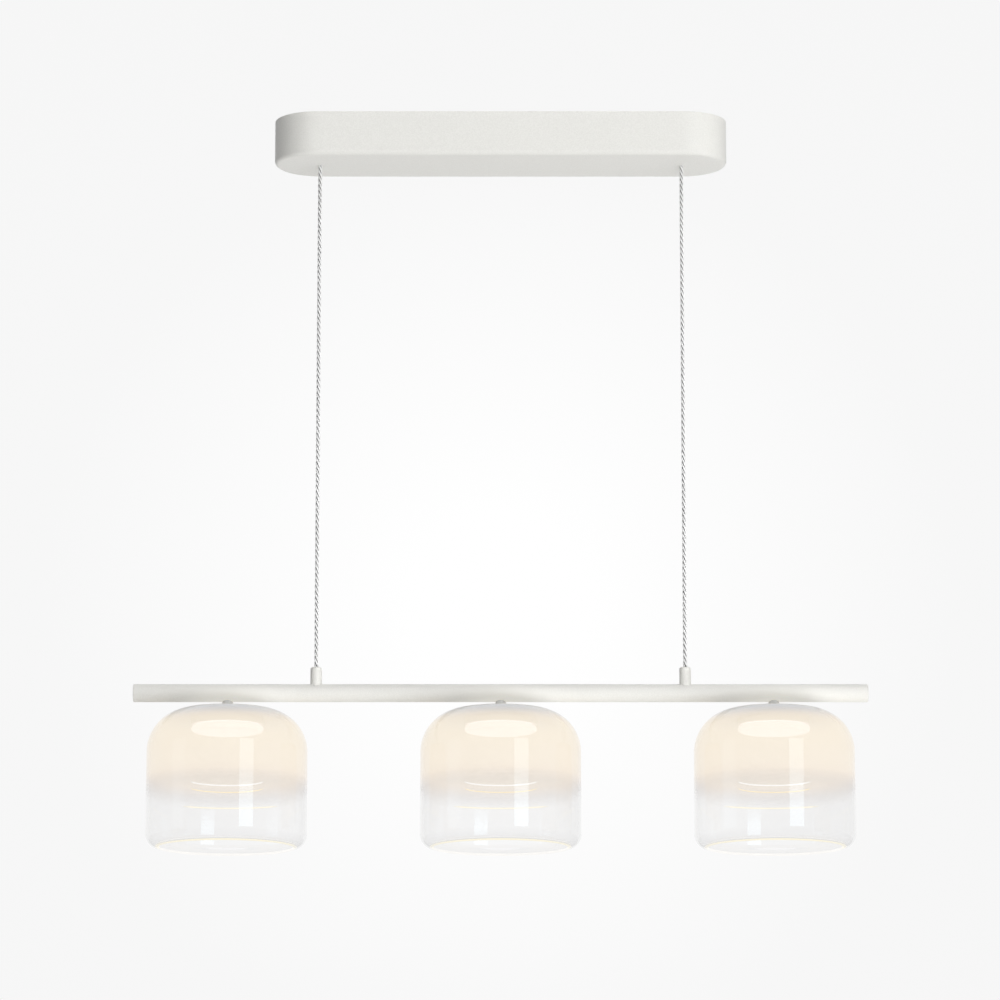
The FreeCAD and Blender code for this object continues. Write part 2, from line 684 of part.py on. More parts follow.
def ferrule(x):
    """Sleeve on the bar: flared mouth, round seat for the cord's ball, saddle and pressed-in spigot."""
    radius = FERRULE_DIAMETER / 2
    mouth = FERRULE_MOUTH_DIAMETER / 2
    seat = BALL_DIAMETER / 2 + BALL_CLEARANCE
    spigot = FERRULE_SPIGOT_DIAMETER / 2
    spigot_end = BAR_TOP - FERRULE_SPIGOT_DEPTH
    body = turned([
        (0, BAR_AXIS),
        (radius, BAR_AXIS),
        (radius, FERRULE_TOP - FERRULE_CHAMFER),
        (radius - FERRULE_CHAMFER, FERRULE_TOP),
        (0, FERRULE_TOP),
    ], x)
    body = body.cut(bar_solid(BAR_DIAMETER / 2, x - 2 * radius, x + 2 * radius))
    body = body.fuse(rod(spigot, V(x, 0, spigot_end), V(x, 0, BALL_CENTRE))).removeSplitter()
    bore = rod(seat, V(x, 0, spigot_end - OVERCUT), V(x, 0, BALL_CENTRE))
    socket = Part.makeSphere(seat, V(x, 0, BALL_CENTRE))
    flare = turned([
        (0, BALL_CENTRE),
        (mouth, BALL_CENTRE),
        (mouth, FERRULE_TOP - FERRULE_CHAMFER / 2),
        (mouth + FERRULE_CHAMFER / 2, FERRULE_TOP),
        (0, FERRULE_TOP),
    ], x)
    return body.cut(bore).cut(socket).cut(flare)


def bar_wire(feed_x, side):
    """One wire of the bar: a trunk in the tube, a feed from one cord's end, and a drop through each stem."""
    radius = WIRE_DIAMETER / 2
    y = side * WIRE_OFFSET
    level = BAR_AXIS + WIRE_RISE
    reach = LAMP_PLACES[LAMP_COUNT] + WIRE_OVERRUN
    wire = rod(radius, V(-reach, y, level), V(reach, y, level))
    feed_top = BALL_CENTRE - BALL_DIAMETER / 2 - CORD_CLEARANCE
    wire = wire.fuse(rod(radius, V(feed_x, y, level), V(feed_x, y, feed_top)))
    for x in LAMP_PLACES.values():
        wire = wire.fuse(rod(radius, V(x, y, BOARD_TOP), V(x, y, level)))
    return wire


# Lamps

def stem(x):
    """Hollow threaded stem: its collar is saddled to the bar, its thread goes down through the glass."""
    bottom = HOUSING_TOP - HOUSING_WALL - STEM_NUT_HEIGHT - STEM_BELOW_NUT
    inside_bar = BAR_BOTTOM + BAR_WALL + STEM_RISE_IN_BAR
    collar_bottom = GLASS_APEX + UPPER_WASHER_HEIGHT
    collar = rod(STEM_COLLAR_DIAMETER / 2, V(x, 0, collar_bottom), V(x, 0, BAR_AXIS))
    collar = collar.cut(bar_solid(BAR_DIAMETER / 2, x - STEM_COLLAR_DIAMETER, x + STEM_COLLAR_DIAMETER))
    thread = rod(STEM_DIAMETER / 2, V(x, 0, bottom), V(x, 0, inside_bar))
    return collar.fuse(thread).removeSplitter().cut(hole(STEM_BORE / 2, x, 0, bottom, inside_bar))


def crown_ball(x, inset):
    """The round body whose surface is the glass crown, or a layer set in from it."""
    return Part.makeSphere(GLASS_CROWN_RADIUS - inset, V(x, 0, GLASS_APEX - GLASS_CROWN_RADIUS))


def upper_washers():
    """Silicone washers between the stems' collars and the glass."""
    washers = []
    for x in LAMP_PLACES.values():
        ring = pipe(
            UPPER_WASHER_DIAMETER / 2, STEM_DIAMETER / 2 + SLIP_CLEARANCE,
            V(x, 0, GLASS_APEX - OVERCUT), V(x, 0, GLASS_APEX + UPPER_WASHER_HEIGHT),
        )
        washers.append(ring.cut(crown_ball(x, 0)))
    return Part.makeCompound(washers)


def lower_washers():
    """Silicone washers under the glass, crowned like the glass above them."""
    washers = []
    for x in LAMP_PLACES.values():
        ring = pipe(
            LOWER_WASHER_DIAMETER / 2, STEM_DIAMETER / 2 + SLIP_CLEARANCE,
            V(x, 0, HOUSING_TOP), V(x, 0, GLASS_APEX),
        )
        washers.append(ring.common(crown_ball(x, GLASS_WALL)))
    return Part.makeCompound(washers)


def glass_outline(inset):
    """One skin of the bell: its edges down to the lip, its lip, and the points where these end."""
    wall = GLASS_DIAMETER / 2 - inset
    crown = GLASS_CROWN_RADIUS - inset
    shoulder = GLASS_SHOULDER_RADIUS - inset
    lip = GLASS_LIP_RADIUS - inset
    crown_z = GLASS_APEX - GLASS_CROWN_RADIUS
    shoulder_r = GLASS_DIAMETER / 2 - GLASS_SHOULDER_RADIUS
    shoulder_z = crown_z + math.sqrt((crown - shoulder) ** 2 - shoulder_r ** 2)
    lip_r = GLASS_DIAMETER / 2 - GLASS_LIP_RADIUS
    mouth = GLASS_MOUTH_DIAMETER / 2
    lip_turn = math.acos((mouth - lip_r) / GLASS_LIP_RADIUS)
    lip_z = GLASS_RIM + GLASS_LIP_RADIUS * math.sin(lip_turn)
    crown_turn = math.atan2(shoulder_r, shoulder_z - crown_z)

    def on_crown(turn):
        return V(crown * math.sin(turn), 0, crown_z + crown * math.cos(turn))

    def on_shoulder(turn):
        return V(shoulder_r + shoulder * math.sin(turn), 0, shoulder_z + shoulder * math.cos(turn))

    def on_lip(turn):
        return V(lip_r + lip * math.cos(turn), 0, lip_z - lip * math.sin(turn))

    hole_turn = math.asin(GLASS_HOLE_DIAMETER / 2 / crown)
    crown_middle = on_crown((hole_turn + crown_turn) / 2)
    shoulder_middle = on_shoulder((crown_turn + math.pi / 2) / 2)
    wall_top = V(wall, 0, shoulder_z)
    wall_bottom = V(wall, 0, lip_z)
    bell = [
        Part.Arc(on_crown(hole_turn), crown_middle, on_crown(crown_turn)).toShape(),
        Part.Arc(on_shoulder(crown_turn), shoulder_middle, wall_top).toShape(),
        Part.makeLine(wall_top, wall_bottom),
    ]
    lip_edge = Part.Arc(wall_bottom, on_lip(lip_turn / 2), on_lip(lip_turn)).toShape()
    return bell, lip_edge, on_crown(hole_turn), wall_bottom, on_lip(lip_turn)


def turned_glass(edges, x):
    """Glass turned about the vertical line through x from the closed outline that the edges make."""
    section = Part.Face(Part.Wire(Part.__sortEdges__(edges)))
    glass = section.revolve(V(0, 0, 0), UP, 360)
    glass.translate(V(x, 0, 0))
    return glass


def glass_shade(x):
    """Blown bell down to its lip: crown, round shoulder and upright wall."""
    outer, _, outer_top, outer_foot, _ = glass_outline(0)
    inner, _, inner_top, inner_foot, _ = glass_outline(GLASS_WALL)
    hole_wall = Part.makeLine(inner_top, outer_top)
    foot = Part.makeLine(inner_foot, outer_foot)
    return turned_glass(outer + [foot] + inner + [hole_wall], x)


def glass_lip(x):
    """The bell's lip, curled in to the mouth: one glass with the bell, drawn apart to keep its mouth open."""
    _, outer, _, outer_foot, outer_rim = glass_outline(0)
    _, inner, _, inner_foot, inner_rim = glass_outline(GLASS_WALL)
    middle_rim = outer_rim.add(inner_rim) * 0.5
    along_lip = V(outer_rim.z - inner_rim.z, 0, inner_rim.x - outer_rim.x).normalize()
    if along_lip.x > 0:
        along_lip = along_lip * -1
    rolled = middle_rim.add(along_lip * (GLASS_WALL / 2))
    rim = Part.Arc(outer_rim, rolled, inner_rim).toShape()
    foot = Part.makeLine(inner_foot, outer_foot)
    return turned_glass([outer, rim, inner, foot], x)


def skirt_inside():
    """Radius of the housing's socket for the board and the opal disc."""
    return HOUSING_DIAMETER / 2 - HOUSING_WALL


def boss_places(x):
    """Centres of the two screw bosses on the board's upper face."""
    return [V(x + side * BOSS_SPACING / 2, 0, BOARD_TOP) for side in (-1, 1)]


def diffuser_screw_places(x):
    """Points on the skirt's outside where its screws go in, each with its inward direction."""
    places = []
    for n in range(DIFFUSER_SCREW_COUNT):
        angle = math.radians(90 + 360 * n / DIFFUSER_SCREW_COUNT)
        outward = V(math.cos(angle), math.sin(angle), 0)
        place = V(x, 0, SKIRT_BOTTOM + DIFFUSER_COLLAR / 2).add(outward * (HOUSING_DIAMETER / 2))
        places.append((place, outward * -1))
    return places


def diffuser_screw(place, inward):
    """One screw's solid bar, from the skirt's outside into the disc's collar."""
    reach = HOUSING_WALL + SLIP_CLEARANCE + DIFFUSER_SCREW_BITE
    return rod(DIFFUSER_SCREW_DIAMETER / 2, place, place.add(inward * reach))


def above_dish(x):
    """Everything above the middle of the dish's sloped back, used to trim what stands inside it."""
    flat = LOWER_WASHER_DIAMETER / 2
    outer = HOUSING_DIAMETER / 2
    sunk = HOUSING_WALL / 2
    return turned([
        (0, HOUSING_TOP + HOUSING_WALL),
        (outer, HOUSING_TOP + HOUSING_WALL),
        (outer, SKIRT_TOP - sunk),
        (flat, HOUSING_TOP - sunk),
        (0, HOUSING_TOP - sunk),
    ], x)


def lamp_housing(x):
    """Aluminium dish: sloped back, skirt, socket for the board and disc, and two screw bosses."""
    bore = STEM_DIAMETER / 2 + SLIP_CLEARANCE
    flat = LOWER_WASHER_DIAMETER / 2
    outer = HOUSING_DIAMETER / 2
    socket = skirt_inside()
    seat = socket - BOARD_SEAT_WIDTH
    ceiling = HOUSING_TOP - HOUSING_WALL
    dish = turned([
        (bore, HOUSING_TOP),
        (flat, HOUSING_TOP),
        (outer, SKIRT_TOP),
        (outer, SKIRT_BOTTOM),
        (socket, SKIRT_BOTTOM),
        (socket, BOARD_TOP),
        (seat, BOARD_TOP),
        (seat, SKIRT_TOP - HOUSING_WALL),
        (flat, ceiling),
        (bore, ceiling),
    ], x)
    for place in boss_places(x):
        boss = rod(BOSS_RADIUS, place, V(place.x, 0, HOUSING_TOP)).cut(above_dish(x))
        blind_hole = rod(BOARD_SCREW_DIAMETER / 2, place, place.add(V(0, 0, BOARD_SCREW_BITE)))
        dish = dish.fuse(boss).cut(blind_hole)
    for place, inward in diffuser_screw_places(x):
        dish = dish.cut(diffuser_screw(place, inward))
    return dish.removeSplitter()


def stem_nuts():
    """Hexagon nuts on the stems, inside the dishes."""
    bottom = HOUSING_TOP - HOUSING_WALL - STEM_NUT_HEIGHT
    nuts = []
    for x in LAMP_PLACES.values():
        nut = hexagon(STEM_NUT_WIDTH, STEM_NUT_HEIGHT, V(x, 0, bottom))
        nuts.append(nut.cut(hole(STEM_DIAMETER / 2, x, 0, bottom, bottom + STEM_NUT_HEIGHT)))
    return Part.makeCompound(nuts)


def led_board(x):
    """Round board in its seat, with a ring of light chips underneath."""
    board = rod(skirt_inside() - SLIP_CLEARANCE, V(x, 0, BOARD_BOTTOM), V(x, 0, BOARD_TOP))
    for place in boss_places(x):
        board = board.cut(hole(BOARD_SCREW_DIAMETER / 2, place.x, 0, BOARD_BOTTOM, BOARD_TOP))
    for n in range(CHIP_COUNT):
        angle = 360 * (n + 0.5) / CHIP_COUNT
        chip = block(CHIP_RING_RADIUS, 0, BOARD_BOTTOM, CHIP_SIZE, CHIP_SIZE, CHIP_HEIGHT)
        chip.rotate(V(0, 0, 0), UP, angle)
        chip.translate(V(x, 0, 0))
        board = board.fuse(chip)
    return board.removeSplitter()


def board_screws():
    """Screws that hold the boards to their bosses."""
    length = BOARD_HEIGHT + BOARD_SCREW_BITE
    return Part.makeCompound([
        headed_screw(place.sub(V(0, 0, BOARD_HEIGHT)), BOARD_SCREW_DIAMETER, BOARD_SCREW_HEAD_HEIGHT, length)
        for x in LAMP_PLACES.values()
        for place in boss_places(x)
    ])


def diffuser(x):
    """Opal disc: a collar inside the skirt, a band under it, and a step that carries the cup."""
    collar = skirt_inside() - SLIP_CLEARANCE
    inside = collar - DIFFUSER_WALL
    band = HOUSING_DIAMETER / 2 - DIFFUSER_SETBACK
    step = HOUSING_DIAMETER / 2 - CUP_WALL - SLIP_CLEARANCE
    collar_top = SKIRT_BOTTOM + DIFFUSER_COLLAR
    body = turned([
        (0, collar_top),
        (collar, collar_top),
        (collar, SKIRT_BOTTOM),
        (band, SKIRT_BOTTOM),
        (band, CUP_TOP),
        (step, CUP_TOP),
        (step, DIFFUSER_BOTTOM),
        (0, DIFFUSER_BOTTOM),
    ], x)
    body = body.makeFillet(DIFFUSER_EDGE_RADIUS, edges_at_height(body, DIFFUSER_BOTTOM))
    body = body.cut(rod(inside, V(x, 0, DIFFUSER_BOTTOM + DIFFUSER_WALL), V(x, 0, collar_top)))
    for place, inward in diffuser_screw_places(x):
        body = body.cut(diffuser_screw(place, inward))
    return body


def diffuser_screws():
    """Socket screws through the skirts into the discs' collars."""
    screws = []
    for x in LAMP_PLACES.values():
        for place, inward in diffuser_screw_places(x):
            socket = hexagon(DIFFUSER_SCREW_SOCKET, DIFFUSER_SCREW_BITE, place, inward)
            screws.append(diffuser_screw(place, inward).cut(socket))
    return Part.makeCompound(screws)


def inner_cup(x):
    """Clear cup under the opal disc, with a thick floor."""
    outer = HOUSING_DIAMETER / 2
    floor = CUP_BOTTOM + CUP_BASE
    body = rod(outer, V(x, 0, CUP_BOTTOM), V(x, 0, CUP_TOP))
    body = body.makeFillet(CUP_EDGE_RADIUS, edges_at_height(body, CUP_BOTTOM))
    hollow = rod(outer - CUP_WALL, V(x, 0, floor), V(x, 0, CUP_TOP))
    hollow = hollow.makeFillet(CUP_EDGE_RADIUS, edges_at_height(hollow, floor))
    return body.cut(hollow)


def build():
    """Every node of the pendant, by name."""
    nodes = {
        "canopy_cover": canopy_cover(),
        "mounting_bracket": mounting_bracket(),
        "canopy_set_screws": canopy_set_screws(),
        "canopy_nuts": canopy_nuts(),
        "grip_nuts": grip_nuts(),
        "grip_screws": grip_screws(),
        "led_driver": led_driver(),
        "driver_cover": driver_cover(),
        "driver_screws": driver_screws(),
        "mains_terminal": mains_terminal(),
        "terminal_screws": terminal_screws(),
        "earth_screw": earth_screw(),
        "mains_leads": mains_leads(),
        "lamp_leads": lamp_leads(),
        "bar_tube": bar_tube(),
        "end_plug_left": end_plug(-1),
        "end_plug_right": end_plug(1),
        "bar_wire_positive": bar_wire(CORD_PLACES["left"], 1),
        "bar_wire_negative": bar_wire(CORD_PLACES["right"], -1),
        "upper_washers": upper_washers(),
        "lower_washers": lower_washers(),
        "stem_nuts": stem_nuts(),
        "board_screws": board_screws(),
        "diffuser_screws": diffuser_screws(),
    }
    for side, x in CORD_PLACES.items():
        nodes[f"cord_bushing_{side}"] = cord_bushing(x)
        nodes[f"cord_anchor_{side}"] = cord_anchor(x)
        nodes[f"cord_grip_{side}"] = cord_grip(x)
        nodes[f"cord_tail_{side}"] = cord_tail(x)
        nodes[f"cord_{side}"] = cord(x)
        nodes[f"cord_end_{side}"] = cord_end(x)
        nodes[f"ferrule_{side}"] = ferrule(x)
    for number, x in LAMP_PLACES.items():
        nodes[f"stem_{number}"] = stem(x)
        nodes[f"glass_shade_{number}"] = glass_shade(x)
        nodes[f"glass_lip_{number}"] = glass_lip(x)
        nodes[f"lamp_housing_{number}"] = lamp_housing(x)
        nodes[f"led_board_{number}"] = led_board(x)
        nodes[f"diffuser_{number}"] = diffuser(x)
        nodes[f"inner_cup_{number}"] = inner_cup(x)
    return nodes


os.makedirs("parts", exist_ok=True)
for name, shape in build().items():
    shape.exportStep(f"parts/{name}.step")
    print(f"{name}: {len(shape.Solids)} solids, valid {shape.isValid()}, volume {shape.Volume:.1f}")
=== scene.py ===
# %% [markdown]
# A linear island pendant: a long canopy on the ceiling, two twisted cords, a thin round bar and three
# blown glass bells that are opal at the top and clear at the mouth. The solid parts come from a frame that
# is already built, and this lesson gives them their surfaces. It remodels the pieces whose look depends
# on smooth curves or on light passing through them: the cords, the bells, the glowing discs and the cups.

# %% Load the frame
import json
import math

import bmesh
import bpy
from mathutils import Matrix, Vector


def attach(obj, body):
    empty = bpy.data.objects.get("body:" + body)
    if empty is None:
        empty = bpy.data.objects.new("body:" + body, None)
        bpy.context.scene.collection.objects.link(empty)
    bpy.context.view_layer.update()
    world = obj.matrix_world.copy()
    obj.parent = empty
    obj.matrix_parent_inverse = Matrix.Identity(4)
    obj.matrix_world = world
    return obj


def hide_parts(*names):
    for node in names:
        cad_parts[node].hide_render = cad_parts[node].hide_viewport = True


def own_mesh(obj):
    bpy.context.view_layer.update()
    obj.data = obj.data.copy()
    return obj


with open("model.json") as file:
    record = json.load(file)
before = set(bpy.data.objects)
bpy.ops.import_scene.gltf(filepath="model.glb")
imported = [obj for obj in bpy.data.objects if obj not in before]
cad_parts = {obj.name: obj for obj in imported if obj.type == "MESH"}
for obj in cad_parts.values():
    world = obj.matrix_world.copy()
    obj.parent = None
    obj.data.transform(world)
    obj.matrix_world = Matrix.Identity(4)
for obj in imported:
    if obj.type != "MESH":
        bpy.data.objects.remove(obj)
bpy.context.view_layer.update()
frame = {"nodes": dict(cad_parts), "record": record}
nodes = frame["nodes"]
MM = 0.001
print(len(nodes), "nodes in the frame")

# %% [markdown]
# The photograph was taken from well below the lamp, looking up by eleven degrees with a long lens from four
# and a half metres away. A real camera that looks up makes upright lines lean in slightly, and so does this
# one, because it is pitched and not shifted.

# %% Camera
CAMERA_DISTANCE = 4.5
CAMERA_HEIGHT = -1.2666
CAMERA_SIDE = -0.0007
CAMERA_PITCH = math.radians(11.0)
CAMERA_LENS = 164.24

camera_data = bpy.data.cameras.new("camera")
camera_data.lens = CAMERA_LENS
camera_data.sensor_width = 36.0
camera_data.clip_end = 100.0
camera = bpy.data.objects.new("camera", camera_data)
camera.location = (CAMERA_SIDE, -CAMERA_DISTANCE, CAMERA_HEIGHT)
camera.rotation_euler = (math.pi / 2 + CAMERA_PITCH, 0, 0)
bpy.context.scene.collection.objects.link(camera)
bpy.context.scene.camera = camera
bpy.context.scene.view_settings.view_transform = "Standard"
print("camera", tuple(round(v, 4) for v in camera.location))

# %% [markdown]
# Each cord carries half of the bar, so it hangs dead straight from the canopy's underside down into the
# ferrule. Its route is a smooth curve through a few given points: the exit, one point a little way
# below it, one a little way above the ferrule, and the ball inside the ferrule.

# %% Cord routes
CORD_X = 184.0 * MM
CORD_EXIT_Z = -45.0 * MM
CORD_BALL_Z = -567.5 * MM
CORD_LENGTH = CORD_EXIT_Z - CORD_BALL_Z
CORD_DIAMETER = 4.2 * MM
CORD_LEAD = 6 * CORD_DIAMETER


def cord_route(name, x):
    """The cord's line as a smooth spline, and the points read from it."""
    heights = [CORD_EXIT_Z, CORD_EXIT_Z - CORD_LEAD, CORD_BALL_Z + CORD_LEAD, CORD_BALL_Z]
    curve = bpy.data.curves.new(name, "CURVE")
    curve.dimensions = "3D"
    spline = curve.splines.new("NURBS")
    spline.points.add(len(heights) - 1)
    for point, z in zip(spline.points, heights):
        point.co = (x, 0, z, 1)
    spline.order_u = 3
    spline.use_endpoint_u = True
    route = bpy.data.objects.new(name, curve)
    line = bpy.data.meshes.new_from_object(route)
    points = [tuple(vertex.co) for vertex in line.vertices]
    bpy.data.objects.remove(route)
    return points


routes = {"left": cord_route("route_left", -CORD_X), "right": cord_route("route_right", CORD_X)}
print("route points", {side: len(points) for side, points in routes.items()})

# %% [markdown]
# Seen close up, the cord is three soft white strands twisted together. Their furrows show as a row of dark
# commas, and both cords are twisted the same way. Three separate helices would overlap in the middle, so
# the cord is one skin instead: a ring with three lobes that turns as it is drawn along the cord. Bmesh's
# spin does exactly that when it is also given a step along its axis.

# %% From a bmesh to a piece
SHARP_CORNER = math.radians(35)


def finished_piece(bm, name):
    """Turn a bmesh into an object at the origin, smooth except at its sharp corners."""
    mesh = bpy.data.meshes.new(name)
    bm.to_mesh(mesh)
    bm.free()
    mesh.shade_smooth()
    mesh.set_sharp_from_angle(angle=SHARP_CORNER)
    piece = bpy.data.objects.new(name, mesh)
    bpy.context.scene.collection.objects.link(piece)
    print(name, len(mesh.polygons), "faces")
    return piece


# %% Twisted cords
STRAND_COUNT = 3
STRAND_PITCH = 18.0 * MM
STRAND_OFFSET = 1.12 * MM
STRAND_RADIUS = CORD_DIAMETER / 2 - STRAND_OFFSET
RING_POINTS = 24
STEPS_PER_TURN = 30


def lobe_radius(angle):
    """Distance from the cord's middle to the skin of the nearest strand."""
    sector = 2 * math.pi / STRAND_COUNT
    away = (angle + sector / 2) % sector - sector / 2
    side = STRAND_OFFSET * math.sin(away)
    bulge = math.sqrt(STRAND_RADIUS ** 2 - min(side ** 2, STRAND_RADIUS ** 2))
    return STRAND_OFFSET * math.cos(away) + bulge


def twisted_cord(name, x):
    """A cord whose lobed section turns as it climbs."""
    bm = bmesh.new()
    ring = bmesh.ops.create_circle(bm, segments=RING_POINTS, radius=1, cap_ends=False)["verts"]
    for vertex in ring:
        angle = math.atan2(vertex.co.y, vertex.co.x)
        radius = lobe_radius(angle)
        vertex.co = (x + radius * math.cos(angle), radius * math.sin(angle), CORD_BALL_Z)
    bmesh.ops.contextual_create(bm, geom=bm.edges[:])
    turns = CORD_LENGTH / STRAND_PITCH
    steps = round(turns * STEPS_PER_TURN)
    bmesh.ops.spin(
        bm, geom=bm.edges[:], cent=(x, 0, 0), axis=(0, 0, -1),
        dvec=(0, 0, CORD_LENGTH / steps), angle=2 * math.pi * turns, steps=steps, use_duplicate=False,
    )
    top_rim = [edge for edge in bm.edges if edge.is_boundary]
    bmesh.ops.contextual_create(bm, geom=top_rim)
    bmesh.ops.recalc_face_normals(bm, faces=bm.faces)
    return finished_piece(bm, name)


cords = {
    "left": twisted_cord("twisted_cord_left", -CORD_X),
    "right": twisted_cord("twisted_cord_right", CORD_X),
}
for side, cord in cords.items():
    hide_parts(f"cord_{side}")
    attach(cord, "cords")

# %% [markdown]
# When the lamp is set higher, its cords are drawn up into the canopy. Here each cord only gets a mesh of its
# own.

# %% Give each cord its own mesh
for side, cord in cords.items():
    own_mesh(cord)

# %% [markdown]
# The studio is almost white, but it is dim on both sides, so that the round ends of the canopy fall into
# shade: the world's light comes from a wide band in front of the lamp and behind it, a little to the right.
# Rays that go straight to the world, or through glass, or off a shiny surface, see a white backdrop with a
# faint glow low in the middle. Light that enters glass may bounce inside it many times before it leaves.

# %% White studio world
WORLD_LIGHT = 1.95
WORLD_DIM = 0.02
WORLD_BAND = (0.43, 0.47, 0.68, 0.74)
GLASS_BOUNCES = 24
GLOW_DIRECTION = Vector((0.0, math.cos(math.radians(9.7)), math.sin(math.radians(9.7))))


def node(tree, kind, **inputs):
    """Add a node and set its named inputs, each to a value or to another node's output."""
    made = tree.nodes.new(kind)
    for name, value in inputs.items():
        socket = made.inputs[int(name[1:])] if name[0] == "_" else made.inputs[name.replace("_", " ")]
        if isinstance(value, bpy.types.NodeSocket):
            tree.links.new(value, socket)
        else:
            socket.default_value = value
    return made


def math_of(tree, operation, *values):
    """The output of a Math node."""
    made = node(tree, "ShaderNodeMath", **{f"_{n}": value for n, value in enumerate(values)})
    made.operation = operation
    return made.outputs[0]


def range_of(tree, value, low, high):
    """Where a value lies between two others, from 0 to 1."""
    made = node(tree, "ShaderNodeMapRange", Value=value)
    made.inputs["From Min"].default_value = low
    made.inputs["From Max"].default_value = high
    return made.outputs["Result"]


def mix_of(tree, share_of_second, first, second):
    """A blend of two shaders."""
    return node(tree, "ShaderNodeMixShader", _0=share_of_second, _1=first, _2=second).outputs[0]


def object_place(tree):
    """The place on the piece, in metres."""
    return node(tree, "ShaderNodeTexCoord").outputs["Object"]


def object_parts(tree):
    """The same as separate X, Y and Z."""
    return node(tree, "ShaderNodeSeparateXYZ", Vector=object_place(tree)).outputs


def ramp_of(tree, factor, stops, interpolation="LINEAR"):
    """The colour output of a Color Ramp with the given (place, colour) stops."""
    made = node(tree, "ShaderNodeValToRGB", Fac=factor)
    made.color_ramp.interpolation = interpolation
    elements = made.color_ramp.elements
    while len(elements) < len(stops):
        elements.new(1.0)
    for element, (place, color) in zip(elements, stops):
        element.position = place
        element.color = (*color, 1)
    return made.outputs["Color"]


def grey(value):
    """A neutral colour."""
    return (value, value, value)


def seen_directly(tree):
    """One for rays that should see the backdrop and not the studio's light level."""
    path = node(tree, "ShaderNodeLightPath")
    either = math_of(tree, "MAXIMUM", path.outputs["Is Camera Ray"], path.outputs["Is Glossy Ray"])
    return math_of(tree, "MAXIMUM", either, path.outputs["Is Transmission Ray"])


world = bpy.data.worlds.new("white_studio")
bpy.context.scene.world = world
world.use_nodes = True
sky = world.node_tree
sky.nodes.clear()
direction = node(sky, "ShaderNodeTexCoord").outputs["Generated"]
toward = node(sky, "ShaderNodeVectorMath", _0=direction, _1=GLOW_DIRECTION)
toward.operation = "DISTANCE"
backdrop = ramp_of(sky, toward.outputs["Value"], [
    (0.0, grey(1.0)),
    (0.02, grey(1.0)),
    (0.10, grey(0.93)),
    (0.6, grey(0.88)),
])
sideways = node(sky, "ShaderNodeSeparateXYZ", Vector=direction).outputs["X"]
band = ramp_of(sky, range_of(sky, sideways, -1.0, 1.0), [
    (0.0, grey(WORLD_DIM)),
    (WORLD_BAND[0], grey(WORLD_DIM)),
    (WORLD_BAND[1], grey(1.0)),
    (WORLD_BAND[2], grey(1.0)),
    (WORLD_BAND[3], grey(WORLD_DIM)),
])
plain = node(sky, "ShaderNodeBackground", Color=band, Strength=WORLD_LIGHT)
shown = node(sky, "ShaderNodeBackground", Color=backdrop, Strength=1.0)
chosen = mix_of(sky, seen_directly(sky), plain.outputs[0], shown.outputs[0])
node(sky, "ShaderNodeOutputWorld", Surface=chosen)
light_paths = bpy.context.scene.cycles
light_paths.max_bounces = GLASS_BOUNCES
light_paths.glossy_bounces = GLASS_BOUNCES
light_paths.transmission_bounces = GLASS_BOUNCES
print("world light", WORLD_LIGHT)

# %% [markdown]
# The bells mirror two soft boxes as upright strips: a bright one to the right of the camera and a weaker one
# far to the left. Their width and height are read from these strips, and they stand far away, so that the
# three bells show them at the same place. Two more soft lights are not mirrored. Both stand in front on the
# right: the low one brightens what faces down and picks out the rolled edges, the high one lights the bar.

# %% Soft boxes
SOFTBOX_DISTANCE = 8.0
LAMP_CENTRE = Vector((0, 0, -0.67))


def soft_light(name, size_x, size_y, out, radiance, color):
    """A soft rectangle of light that shines back along out."""
    light = bpy.data.lights.new(name, "AREA")
    light.shape = "RECTANGLE"
    light.size = size_x
    light.size_y = size_y
    light.energy = radiance * math.pi * size_x * size_y
    light.color = color
    holder = bpy.data.objects.new(name, light)
    holder.rotation_euler = out.to_track_quat("Z", "Y").to_euler()
    holder.visible_camera = False
    bpy.context.scene.collection.objects.link(holder)
    print(name, round(size_x, 2), "by", round(size_y, 2), "m")
    return holder


def softbox(name, side_low, side_high, height_low, height_high, radiance, color):
    """A soft light that fills the given angles, in degrees right of the camera and above level."""
    side = math.radians((side_low + side_high) / 2)
    rise = math.radians((height_low + height_high) / 2)
    out = Vector((math.sin(side) * math.cos(rise), -math.cos(side) * math.cos(rise), math.sin(rise)))
    width = 2 * SOFTBOX_DISTANCE * math.tan(math.radians(side_high - side_low) / 2)
    height = 2 * SOFTBOX_DISTANCE * math.tan(math.radians(height_high - height_low) / 2)
    holder = soft_light(name, width, height, out, radiance, color)
    holder.location = LAMP_CENTRE + out * SOFTBOX_DISTANCE
    holder.visible_diffuse = False


DAYLIGHT = (0.70, 0.88, 1.0)
WHITE_LIGHT = (1, 1, 1)
SOFTBOX_HEIGHTS = (2.0, 17.0)
RIGHT_SIDES = (19.5, 40.0)
LEFT_SIDES = (-81.0, -60.0)
FILL_SIZE = (3.0, 1.5)
FILLS = {
    "low_fill": (Vector((1.15, -1.75, -2.18)), 5.2),
    "high_fill": (Vector((1.1, -1.8, 2.1)), 1.8),
}

softbox("softbox_right", *RIGHT_SIDES, *SOFTBOX_HEIGHTS, radiance=1.7, color=DAYLIGHT)
softbox("softbox_left", *LEFT_SIDES, *SOFTBOX_HEIGHTS, radiance=0.3, color=DAYLIGHT)
for name, (fill_place, radiance) in FILLS.items():
    fill = soft_light(name, *FILL_SIZE, fill_place.normalized(), radiance, WHITE_LIGHT)
    fill.location = fill_place
    fill.visible_glossy = False
    fill.visible_transmission = False

# %% [markdown]
# A plain pale floor lies at room height below the lamp, as part of the studio and not of the lamp. Seen
# directly, in glass or in metal it is nearly as pale as the backdrop, and it keeps some of the lamp's shadow.

